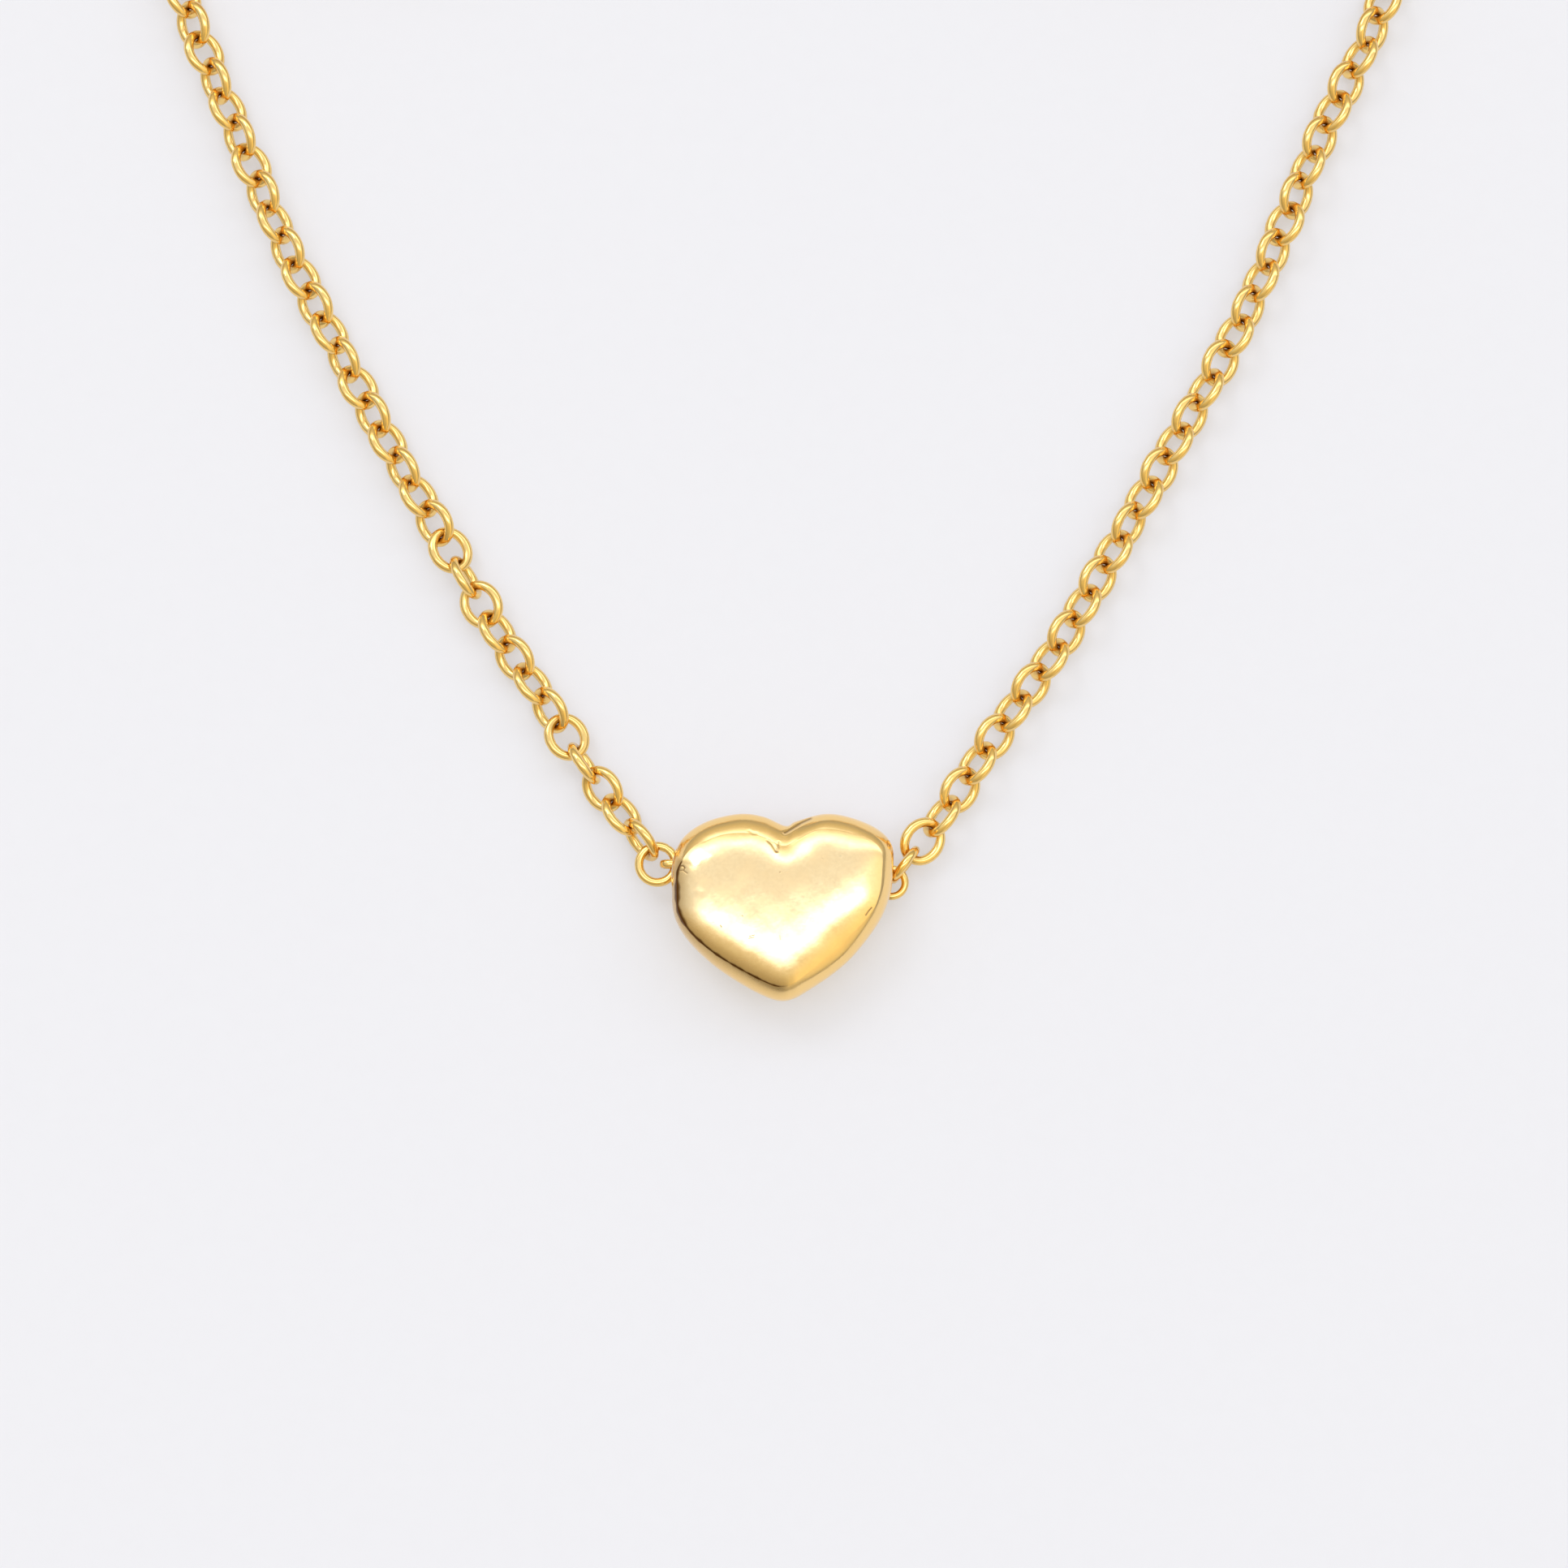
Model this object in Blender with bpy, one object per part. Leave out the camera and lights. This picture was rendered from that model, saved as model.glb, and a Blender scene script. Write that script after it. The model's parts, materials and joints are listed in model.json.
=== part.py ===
"""A heart pendant necklace lying flat: a hollow two-shell heart, wire eyes, jump rings,
round-wire cable chain and a spring ring clasp. Metres, +Z up, heart's tip towards -Y."""

from math import cos, pi, radians, sin

import bmesh
import bpy
from mathutils import Matrix, Vector

MM = 0.001

# Heart: two domed shells that meet at the girdle, where the heart is widest.
HEART_WIDTH = 7.93 * MM
HEART_HEIGHT = 6.72 * MM
GIRDLE_HEIGHT = 1.9 * MM
FRONT_DEPTH = 1.2 * MM
SHELL_WALL = 0.3 * MM
SEAM_GAP = 0.03 * MM
OUTLINE_SAMPLES = 4

# Chain: a link's outer length and width, its wire, and the play where two links hook.
LINK_LENGTH = 1.805 * MM
LINK_WIDTH = 1.56 * MM
WIRE = 0.31 * MM
PLAY = 0.03 * MM
CHAIN_HEIGHT = 0.83 * MM
LOOSE_LINKS = 10

# Eyes and jump rings beside the heart.
JUMP_RING_OUTER = 1.626 * MM
LEFT_EYE_WIRE = 0.17 * MM
LEFT_EYE_HALF_HEIGHT = 0.30 * MM
LEFT_EYE_REACH = 0.62 * MM
RIGHT_EYE_WIRE = 0.27 * MM
RIGHT_EYE_RADIUS = 0.50 * MM
SOLDER_GAP = 0.08 * MM

# Each jump ring: how far its centre is out from the heart's side, its height up the
# heart, and the way it points, towards its chain.
LEFT_RING_OUT = 0.575 * MM
LEFT_RING_UP = 1.66 * MM
LEFT_RING_WAY = (-0.515, 0.857, 0)
RIGHT_RING_OUT = 0.415 * MM
RIGHT_RING_UP = 1.64 * MM
RIGHT_RING_WAY = (0.604, 0.797, 0)

# Put-away chain: a flat spiral coil on each side, and the tube of chain that leads to it.
CHAIN_WIDTH = 1.55 * MM
COIL_START_RADIUS = 11.0 * MM
COIL_TURN_STEP = 1.6 * MM
COIL_TURNS = 3
COIL_CENTRE_X = 15.0 * MM
COIL_CENTRE_Y = 46.0 * MM
TUBE_GAP = 0.3 * MM
TUBE_STEP = 3.5 * MM
TAIL_WAY = (0.6, 0.8)
END_LINK_ROLL = 60

# Clasp and the ring that it hooks into.
CLASP_RADIUS = 2.2 * MM
CLASP_TUBE = 1.1 * MM
CLASP_BORE = 0.74 * MM
CLASP_TUBE_SIDES = 10
TONGUE_WIRE = 0.5 * MM
SPRING_WIRE = 0.09 * MM
SPRING_RADIUS = 0.24 * MM
SPRING_TURNS = 11
KNOB_WIDTH = 0.34 * MM
KNOB_REACH = 0.55 * MM
LUG_RADIUS = 0.52 * MM
LUG_WIRE = 0.28 * MM
CLASP_RING_OUTER = 1.64 * MM
CLASP_RING_WIRE = 0.3 * MM
END_RING_OUTER = 4.0 * MM
END_RING_WIRE = 0.6 * MM

# Clasp angles in degrees about its centre, from the middle of its mouth.
MOUTH_HALF = 20
TONGUE_TIP = -24
TONGUE_END = 76
KNOB_AT = 33
TONGUE_TRAVEL = 45
SPRING_END = 150
SLOT_MARGIN = 6

# How each loose link lies: its roll about the chain's line in degrees, 0 lying flat.
LEFT_ROLLS = (-70, 50, -38, 78, 12, -50, 50, -40, 50, -20)
RIGHT_ROLLS = (18, -58, 38, -50, 38, -50, 42, -48, 42, -48)

# Where each run of chain lies, in millimetres, from its jump ring to its coil.
LEFT_ROUTE = (
    (-4.88, 2.22), (-6.17, 3.90), (-7.49, 5.73), (-8.73, 7.75), (-10.04, 9.60),
    (-11.21, 11.55), (-12.63, 14.04), (-14.02, 16.40), (-15.55, 19.20), (-16.63, 21.27),
    (-17.71, 23.32), (-18.70, 25.43), (-19.61, 27.60), (-20.52, 29.73), (-21.42, 31.85),
    (-22.24, 34.00), (-23.16, 36.40), (-24.20, 39.30), (-25.35, 42.60),
)
RIGHT_ROUTE = (
    (4.78, 2.16), (6.02, 3.80), (7.28, 5.75), (8.57, 7.62), (9.91, 9.48),
    (11.09, 11.50), (12.26, 13.53), (13.43, 15.60), (14.54, 17.57), (15.69, 19.54),
    (16.77, 21.60), (17.80, 23.83), (18.72, 26.02), (19.62, 28.20), (20.68, 30.43),
    (21.68, 32.40), (22.40, 34.30), (23.28, 36.60), (24.26, 39.40), (25.35, 42.60),
)

# The heart's outline at the girdle for a heart 7.93 wide and 6.72 high, in millimetres.
HEART_POINTS = (
    (0.13, 2.93), (0.50, 3.10), (1.50, 3.36), (2.45, 3.22), (3.40, 2.80), (3.90, 2.20),
    (3.93, 1.25), (3.80, 0.35), (3.35, -0.65), (2.30, -1.95), (1.00, -2.92),
    (0.08, -3.35), (-0.85, -3.10), (-2.30, -2.22), (-3.35, -1.25), (-3.88, -0.35),
    (-3.98, 0.60), (-3.97, 1.60), (-3.60, 2.48), (-2.75, 3.08), (-1.60, 3.36),
    (-0.70, 3.26),
)
HEART_POINTS_WIDTH = 7.93
HEART_POINTS_HEIGHT = 6.72

# The shells' profiles, as (inset from the outline, share of the depth from the girdle).
FRONT_PROFILE = (
    (0.0, 0.0), (0.03, 0.28), (0.14, 0.50), (0.34, 0.66), (0.75, 0.78), (1.50, 0.90),
)
BACK_PROFILE = (
    (0.0, 0.0), (0.07, 0.24), (0.22, 0.42), (0.43, 0.58), (0.75, 0.80), (1.20, 1.0),
)
PROFILE_REACH = 3.6

GOLD = (0.94, 0.68, 0.28)
PALE_GOLD = (0.96, 0.74, 0.36)
SPRING_STEEL = (0.72, 0.68, 0.60)


def metal(name, colour, roughness):
    """A polished metal with the given colour."""
    material = bpy.data.materials.new(name)
    material.use_nodes = True
    shader = material.node_tree.nodes["Principled BSDF"]
    shader.inputs["Base Color"].default_value = (*colour, 1)
    shader.inputs["Metallic"].default_value = 1
    shader.inputs["Roughness"].default_value = roughness
    material.diffuse_color = (*colour, 1)
    return material


def add_object(name, data, colour, roughness=0.2):
    """An object of its own with its own material, in the scene."""
    obj = bpy.data.objects.new(name, data)
    data.materials.append(metal(name, colour, roughness))
    bpy.context.scene.collection.objects.link(obj)
    return obj


def smooth_curve(points, steps, closed=False):
    """Points along a smooth curve through the given ones, with this many steps each."""
    points = [Vector(p) for p in points]
    if closed:
        points = [points[-1], *points, points[0], points[1]]
    else:
        points = [2 * points[0] - points[1], *points, 2 * points[-1] - points[-2]]
    found = []
    for a, b, c, d in zip(points, points[1:], points[2:], points[3:]):
        for k in range(steps):
            t = k / steps
            bend = (2 * a - 5 * b + 4 * c - d) * t + (3 * b - a - 3 * c + d) * t * t
            found.append(0.5 * (2 * b + (c - a) * t + bend * t))
    return found if closed else [*found, points[-2]]


def wire(name, points, diameter, colour, closed=False, roundness=1):
    """A round wire along the points, closed in a loop or with a flat cap at each end."""
    curve = bpy.data.curves.new(name, "CURVE")
    curve.dimensions = "3D"
    curve.bevel_depth = diameter / 2
    curve.bevel_resolution = roundness
    curve.use_fill_caps = True
    spline = curve.splines.new("POLY")
    spline.points.add(len(points) - 1)
    for point, place in zip(spline.points, points):
        point.co = (*place, 1)
    spline.use_cyclic_u = closed
    spline.use_smooth = True
    return add_object(name, curve, colour)


def arc(radius, start, end, count):
    """Points on an arc about Z between two angles in degrees."""
    angles = [radians(start + (end - start) * k / (count - 1)) for k in range(count)]
    return [Vector((radius * cos(a), radius * sin(a), 0)) for a in angles]


def circle(radius, count):
    """Points evenly round a circle about Z."""
    return arc(radius, 0, 360 - 360 / count, count)


def mesh_object(name, mesh, colour):
    """An object from a mesh whose faces all face outwards."""
    bmesh.ops.recalc_face_normals(mesh, faces=mesh.faces)
    data = bpy.data.meshes.new(name)
    mesh.to_mesh(data)
    mesh.free()
    data.shade_smooth()
    data.set_sharp_from_angle(angle=radians(45))
    return add_object(name, data, colour)


# ---------------------------------------------------------------- heart


def heart_outline():
    """The heart's outline at the girdle, run anticlockwise seen from above."""
    across = HEART_WIDTH / HEART_POINTS_WIDTH
    along = HEART_HEIGHT / HEART_POINTS_HEIGHT
    points = [Vector((x * across, y * along, 0)) for x, y in reversed(HEART_POINTS)]
    return smooth_curve(points, OUTLINE_SAMPLES, closed=True)


def profile_line(profile, depth):
    """A shell's profile from its mouth to its crown, as (inset, rise) in metres."""
    rim = SEAM_GAP / 2
    return [(inset * MM, rim + share * (depth - rim)) for inset, share in profile]


def inner_line(outer):
    """The profile one wall's thickness inside another, with its mouth at the same rise."""
    found = [(outer[0][0] + SHELL_WALL, outer[0][1])]
    for (ax, ay), (bx, by), (cx, cy) in zip(outer, outer[1:], outer[2:]):
        along = Vector((cx - ax, cy - ay)).normalized()
        found.append((bx + along.y * SHELL_WALL, by - along.x * SHELL_WALL))
    inset, rise = outer[-1]
    found.append((inset + SHELL_WALL / 2, rise - SHELL_WALL))
    return found


def shell(name, profile, depth, up):
    """A domed shell with an open mouth at the girdle. up is 1 for the front, -1 for the back."""
    outline = heart_outline()
    outer = profile_line(profile, depth)
    mesh = bmesh.new()
    rings = []
    for inset, rise in [*reversed(inner_line(outer)), *outer]:
        scale = 1 - inset / (PROFILE_REACH * MM)
        height = GIRDLE_HEIGHT + up * rise
        rings.append([mesh.verts.new((p.x * scale, p.y * scale, height)) for p in outline])
    for low, high in zip(rings, rings[1:]):
        for k in range(len(outline)):
            mesh.faces.new((low[k - 1], low[k], high[k], high[k - 1]))
    for ring, crown_rise in ((rings[0], depth - SHELL_WALL), (rings[-1], depth)):
        crown = mesh.verts.new((0, 0, GIRDLE_HEIGHT + up * crown_rise))
        for k in range(len(outline)):
            mesh.faces.new((ring[k - 1], ring[k], crown))
    return mesh_object(name, mesh, PALE_GOLD)


def wall_inset(height):
    """How far the back shell's wall lies inside the outline at a height."""
    share = (GIRDLE_HEIGHT - height) / GIRDLE_HEIGHT
    for (inset_a, a), (inset_b, b) in zip(BACK_PROFILE, BACK_PROFILE[1:]):
        if a <= share <= b:
            return (inset_a + (inset_b - inset_a) * (share - a) / (b - a)) * MM
    return 0.0


def wall_at(side, y, height):
    """The X of the back shell's wall on one side (-1 left, 1 right) at this Y and height."""
    scale = 1 - wall_inset(height) / (PROFILE_REACH * MM)
    ring = [(p.x * scale, p.y * scale) for p in heart_outline() if p.x * side > 0]
    ring.sort(key=lambda p: abs(p[1] - y))
    shoulder = [p for p in ring if abs(p[0]) > HEART_WIDTH / 4]
    (xa, ya), (xb, yb) = shoulder[:2]
    return xa + (xb - xa) * (y - ya) / (yb - ya)


# ---------------------------------------------------------------- chain


def hooked_pitch():
    """How far apart two hooked links sit."""
    return LINK_LENGTH - 2 * WIRE - PLAY


def link_points():
    """The middle of a link's wire: an oval about its own centre, long along X."""
    end_radius = (LINK_WIDTH - WIRE) / 2
    straight = (LINK_LENGTH - LINK_WIDTH) / 2
    points = []
    for centre, start in ((straight, -90), (-straight, 90)):
        for point in arc(end_radius, start, start + 180, 9):
            points.append(point + Vector((centre, 0, 0)))
    return points


def lying(along, roll):
    """Axes of a loop whose length runs along a direction: X along it, Z its own normal."""
    flat = Vector((0, 0, 1)).cross(along).normalized()
    across = flat * cos(radians(roll)) + Vector((0, 0, sin(radians(roll))))
    normal = along.cross(across)
    return Matrix((along, across, normal)).transposed().to_4x4()


def hang(obj, pivot, along, roll):
    """Places a piece with its origin on its joint's axis, which is its own Z."""
    obj.matrix_world = Matrix.Translation(pivot) @ lying(along.normalized(), roll)


def link(name, pivot, along, roll):
    """One link, hooked on the wire at the pivot and lying along a direction."""
    reach = (LINK_LENGTH - WIRE) / 2 - WIRE - PLAY
    points = [point + Vector((reach, 0, 0)) for point in link_points()]
    obj = wire(name, points, WIRE, GOLD, closed=True)
    hang(obj, pivot, along, roll)
    return obj


def coil_point(side, turned):
    """A point of the coil, after this many turns inwards, on one side."""
    angle = pi - 2 * pi * turned
    radius = COIL_START_RADIUS - COIL_TURN_STEP * turned
    x = side * (COIL_CENTRE_X - radius * cos(angle))
    return Vector((x, COIL_CENTRE_Y + radius * sin(angle), CHAIN_HEIGHT))


def coil_inner_wall():
    """The radius of the open middle of a coil."""
    return COIL_START_RADIUS - COIL_TURN_STEP * COIL_TURNS - CHAIN_WIDTH / 2


def coil_centre(side):
    """The middle of one side's coil."""
    return Vector((side * COIL_CENTRE_X, COIL_CENTRE_Y, CHAIN_HEIGHT))


def route(side):
    """The line of one side's chain from its jump ring to where its coil starts."""
    places = LEFT_ROUTE if side < 0 else RIGHT_ROUTE
    points = [Vector((x * MM, y * MM, CHAIN_HEIGHT)) for x, y in places]
    points.append(coil_point(side, 0))
    points.append(coil_point(side, 0.05))
    return smooth_curve(points, 24)


def walk(line, start, step, count):
    """Points along a line, each one step in a straight line from the one before."""
    found, here = [start], start
    ahead = iter(line)
    point = next(ahead)
    while len(found) <= count:
        while (point - here).length < step or point.y < here.y:
            point = next(ahead)
        here = here + (point - here).normalized() * step
        found.append(here)
    return found


def chain_run(side):
    """The loose links of one side and the tube of chain that carries on from them."""
    word = "left" if side < 0 else "right"
    rolls = LEFT_ROLLS if side < 0 else RIGHT_ROLLS
    line = route(side)
    joints = walk(line, ring_far_wire(side), hooked_pitch(), LOOSE_LINKS)
    for k in range(LOOSE_LINKS):
        link(f"{word}_link_{k + 1:02d}", joints[k], joints[k + 1] - joints[k], rolls[k])
    last_way = (joints[-1] - joints[-2]).normalized()
    start = joints[-1] + last_way * (WIRE / 2 + TUBE_GAP)
    ring_edge = COIL_START_RADIUS + CHAIN_WIDTH / 2 + TUBE_GAP
    clear = ring_edge + CHAIN_WIDTH / 2
    middle = coil_centre(side)
    points = [start]
    for point in line:
        if point.y > points[-1].y and (point - points[-1]).length >= TUBE_STEP:
            if (point - middle).length > clear:
                points.append(point)
    wire(f"{word}_chain_run", points, CHAIN_WIDTH, GOLD, roundness=2)


def turned_ring(name, outer, inner, low, high, place):
    """A turned ring with a flat top and bottom and rounded corners, about its own Z."""
    corner = (high - low) / 4
    profile = [
        (outer, high - corner), (outer, low + corner), (outer - corner, low),
        (inner + corner, low), (inner, low + corner), (inner, high - corner),
        (inner + corner, high), (outer - corner, high),
    ]
    mesh = bmesh.new()
    verts = [mesh.verts.new((x, 0, z)) for x, z in profile]
    edges = [mesh.edges.new((verts[k - 1], verts[k])) for k in range(len(verts))]
    bmesh.ops.spin(
        mesh, geom=verts + edges, cent=(0, 0, 0), axis=(0, 0, 1), angle=2 * pi, steps=32,
        use_merge=True,
    )
    bmesh.ops.remove_doubles(mesh, verts=mesh.verts, dist=1e-7)
    mesh_object(name, mesh, GOLD).location = place


def chain_coil(side):
    """The outer shape of one side's coiled chain."""
    word = "left" if side < 0 else "right"
    outer = COIL_START_RADIUS + CHAIN_WIDTH / 2
    inner = coil_inner_wall()
    low = CHAIN_HEIGHT - CHAIN_WIDTH / 2
    place = coil_centre(side)
    place.z = 0
    turned_ring(f"{word}_chain_coil", outer, inner, low, low + CHAIN_WIDTH, place)


# ---------------------------------------------------------------- eyes and jump rings


def ring_radius():
    """The radius of a jump ring at the middle of its wire."""
    return (JUMP_RING_OUTER - WIRE) / 2


def ring_place(side):
    """A jump ring's centre and the way it points, towards its chain."""
    if side < 0:
        out, up, way = LEFT_RING_OUT, LEFT_RING_UP, LEFT_RING_WAY
    else:
        out, up, way = RIGHT_RING_OUT, RIGHT_RING_UP, RIGHT_RING_WAY
    centre = Vector((side * (HEART_WIDTH / 2 + out), up, CHAIN_HEIGHT))
    return centre, Vector(way).normalized()


def ring_far_wire(side):
    """Where a jump ring's wire carries the first link."""
    centre, way = ring_place(side)
    return centre + way * ring_radius()


def eye_wire(side):
    """Where an eye's wire carries its jump ring."""
    centre, way = ring_place(side)
    if side < 0:
        hooked = centre.x + ring_radius()
        return Vector((hooked - LEFT_EYE_REACH + LEFT_EYE_WIRE / 2 + PLAY, centre.y, centre.z))
    near = centre - way * ring_radius()
    return near + way * (WIRE / 2 + RIGHT_EYE_WIRE / 2 + 2 * PLAY)


def left_eye():
    """An upright U of wire that stands out of the left wall."""
    tip = eye_wire(-1)
    bend_x = tip.x + LEFT_EYE_HALF_HEIGHT
    points = []
    for bend in arc(LEFT_EYE_HALF_HEIGHT, 90, 270, 9):
        points.append(Vector((bend_x + bend.x, tip.y, tip.z + bend.y)))
    top, low = points[0].z, points[-1].z
    points.insert(0, Vector((wall_at(-1, tip.y, top) - SOLDER_GAP, tip.y, top)))
    points.append(Vector((wall_at(-1, tip.y, low) - SOLDER_GAP, tip.y, low)))
    wire("left_eye", points, LEFT_EYE_WIRE, GOLD)


def right_eye():
    """A flat loop of wire that curves out of the right wall and back into it."""
    outermost = eye_wire(1)
    _, way = ring_place(1)
    centre = outermost - way * RIGHT_EYE_RADIUS
    foot = wall_at(1, centre.y, CHAIN_HEIGHT) + SOLDER_GAP + RIGHT_EYE_WIRE / 4
    loop = [centre + point for point in arc(RIGHT_EYE_RADIUS, -175, 175, 31)]
    points = [point for point in loop if point.x > foot]
    wire("right_eye", points, RIGHT_EYE_WIRE, GOLD)


def jump_rings():
    """The two rings that join the eyes to the chain: one lies flat, one stands on edge."""
    for side, word, roll in ((-1, "left", 0), (1, "right", 90)):
        centre, way = ring_place(side)
        pivot = eye_wire(side)
        axes = lying(way, roll)
        offset = axes.inverted() @ (centre - pivot)
        points = [point + offset for point in circle(ring_radius(), 18)]
        obj = wire(f"{word}_jump_ring", points, WIRE, GOLD, closed=True)
        obj.matrix_world = Matrix.Translation(pivot) @ axes


# ---------------------------------------------------------------- clasp


def tail(side):
    """The pivot and direction of the end link, inside the coil, and its far wire."""
    way = Vector((-side * TAIL_WAY[0], -TAIL_WAY[1], 0)).normalized()
    pivot_radius = coil_inner_wall() - TUBE_GAP - WIRE / 2 - WIRE - PLAY
    pivot = coil_centre(side) - way * pivot_radius
    return pivot, way, pivot + way * hooked_pitch()


def end_links():
    """The last link of the chain on each side."""
    for side, word in ((-1, "left"), (1, "right")):
        pivot, way, _ = tail(side)
        link(f"{word}_end_link", pivot, way, END_LINK_ROLL * side)


def clasp_frame():
    """The clasp's centre and the direction from its lug towards its centre."""
    _, way, carried = tail(-1)
    ring = (CLASP_RING_OUTER - CLASP_RING_WIRE) / 2
    ring_centre = carried + way * (ring - CLASP_RING_WIRE / 2 - WIRE / 2 - PLAY)
    lug_wire = ring_centre + way * (ring - CLASP_RING_WIRE / 2 - LUG_WIRE / 2 - PLAY)
    lug_centre = lug_wire + way * LUG_RADIUS
    gap = LUG_RADIUS + LUG_WIRE / 2 + CLASP_TUBE / 2 + PLAY
    centre = lug_centre + way * (gap + CLASP_RADIUS)
    return ring_centre, lug_wire, lug_centre, centre, way


def clasp_ring():
    """The ring between the chain's last link and the clasp's lug, standing on edge."""
    ring_centre, _, _, _, way = clasp_frame()
    _, _, carried = tail(-1)
    radius = (CLASP_RING_OUTER - CLASP_RING_WIRE) / 2
    axes = lying(way, 90)
    offset = axes.inverted() @ (ring_centre - carried)
    points = [point + offset for point in circle(radius, 18)]
    obj = wire("clasp_ring", points, CLASP_RING_WIRE, GOLD, closed=True)
    obj.matrix_world = Matrix.Translation(carried) @ axes


def clasp_axes(way):
    """The clasp's own axes: X from its centre through its mouth."""
    return lying(Vector((0, 0, 1)).cross(way).normalized(), 0)


def arc_tube(start, end, diameter, steps):
    """A mesh of an open tube along an arc of the clasp, with no ends."""
    mesh = bmesh.new()
    section = circle(diameter / 2, CLASP_TUBE_SIDES)
    first = [mesh.verts.new((CLASP_RADIUS + p.x, 0, p.y)) for p in section]
    edges = [mesh.edges.new((first[k - 1], first[k])) for k in range(len(first))]
    turned = Matrix.Rotation(radians(start), 4, "Z")
    bmesh.ops.transform(mesh, matrix=turned, verts=mesh.verts)
    bmesh.ops.spin(
        mesh, geom=first + edges, cent=(0, 0, 0), axis=(0, 0, 1),
        angle=radians(end - start), steps=steps,
    )
    return mesh


def clasp_case(place):
    """The C-shaped tube that is the clasp's body, with a slot for the tongue's knob."""
    mesh = arc_tube(MOUTH_HALF, 360 - MOUTH_HALF, CLASP_TUBE, 32)
    case = mesh_object("clasp_case", mesh, GOLD)
    wall = case.modifiers.new("wall", "SOLIDIFY")
    wall.thickness = (CLASP_TUBE - CLASP_BORE) / 2
    wall.offset = -1
    case.matrix_world = place
    cutter_mesh = bmesh.new()
    low, high = KNOB_AT - SLOT_MARGIN, KNOB_AT + TONGUE_TRAVEL + SLOT_MARGIN
    half = KNOB_WIDTH / 2 + 2 * PLAY
    corners = [
        cutter_mesh.verts.new((x, 0, z))
        for x, z in (
            (CLASP_RADIUS, -half), (CLASP_RADIUS + CLASP_TUBE, -half),
            (CLASP_RADIUS + CLASP_TUBE, half), (CLASP_RADIUS, half),
        )
    ]
    face = cutter_mesh.faces.new(corners)
    turned = Matrix.Rotation(radians(low), 4, "Z")
    bmesh.ops.transform(cutter_mesh, matrix=turned, verts=cutter_mesh.verts)
    bmesh.ops.spin(
        cutter_mesh, geom=[face], cent=(0, 0, 0), axis=(0, 0, 1),
        angle=radians(high - low), steps=9,
    )
    cutter = mesh_object("knob_slot_cutter", cutter_mesh, SPRING_STEEL)
    cutter.matrix_world = place
    cutter.hide_render = True
    cutter.display_type = "WIRE"
    slot = case.modifiers.new("knob_slot", "BOOLEAN")
    slot.operation = "DIFFERENCE"
    slot.object = cutter


def clasp_tongue(place):
    """The bolt that closes the clasp's mouth, with the knob that a fingertip draws back."""
    mesh = arc_tube(TONGUE_TIP, TONGUE_END, TONGUE_WIRE, 12)
    rims = [edge for edge in mesh.edges if edge.is_boundary]
    bmesh.ops.holes_fill(mesh, edges=rims, sides=0)
    tongue = mesh_object("clasp_tongue", mesh, GOLD)
    tongue.matrix_world = place
    stem = bmesh.new()
    bmesh.ops.create_cone(
        stem, cap_ends=True, segments=12, radius1=KNOB_WIDTH / 2, radius2=KNOB_WIDTH / 2,
        depth=KNOB_REACH + CLASP_TUBE / 2,
    )
    outwards = Matrix.Rotation(radians(90), 4, "Y")
    moved = Matrix.Translation((CLASP_RADIUS + (KNOB_REACH + CLASP_TUBE / 2) / 2, 0, 0))
    turned = Matrix.Rotation(radians(KNOB_AT), 4, "Z")
    bmesh.ops.transform(stem, matrix=turned @ moved @ outwards, verts=stem.verts)
    knob = mesh_object("tongue_knob", stem, GOLD)
    knob.matrix_world = place
    knob.hide_render = True
    knob.display_type = "WIRE"
    joined = tongue.modifiers.new("knob", "BOOLEAN")
    joined.operation = "UNION"
    joined.object = knob


def clasp_spring(place):
    """The coil spring in the case that pushes the tongue shut."""
    first = TONGUE_END + 4
    count = SPRING_TURNS * 8 + 1
    points = []
    for k in range(count):
        share = k / (count - 1)
        way = radians(first + (SPRING_END - first) * share)
        turn = 2 * pi * SPRING_TURNS * share
        radius = CLASP_RADIUS + SPRING_RADIUS * cos(turn)
        height = SPRING_RADIUS * sin(turn)
        points.append(Vector((radius * cos(way), radius * sin(way), height)))
    spring = wire("clasp_spring", points, SPRING_WIRE, SPRING_STEEL)
    spring.matrix_world = place


def clasp():
    """The whole clasp at the left chain's end."""
    _, lug_wire, lug_centre, centre, way = clasp_frame()
    place = Matrix.Translation(centre) @ clasp_axes(way)
    clasp_ring()
    clasp_case(place)
    clasp_tongue(place)
    clasp_spring(place)
    axes = lying(way, 0)
    offset = axes.inverted() @ (lug_centre - lug_wire)
    points = [point + offset for point in circle(LUG_RADIUS, 16)]
    lug = wire("clasp_lug", points, LUG_WIRE, GOLD, closed=True)
    lug.matrix_world = Matrix.Translation(lug_wire) @ axes


def end_ring():
    """The ring at the right chain's end that the clasp hooks into."""
    _, way, carried = tail(1)
    radius = (END_RING_OUTER - END_RING_WIRE) / 2
    reach = radius - END_RING_WIRE / 2 - WIRE / 2 - PLAY
    points = [point + Vector((reach, 0, 0)) for point in circle(radius, 24)]
    obj = wire("end_ring", points, END_RING_WIRE, GOLD, closed=True)
    hang(obj, carried, way, 0)


def build():
    """The whole necklace in an empty scene."""
    for obj in list(bpy.data.objects):
        bpy.data.objects.remove(obj)
    shell("heart_front", FRONT_PROFILE, FRONT_DEPTH, 1)
    shell("heart_back", BACK_PROFILE, GIRDLE_HEIGHT, -1)
    left_eye()
    right_eye()
    jump_rings()
    for side in (-1, 1):
        chain_run(side)
        chain_coil(side)
    end_links()
    clasp()
    end_ring()


build()
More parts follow.
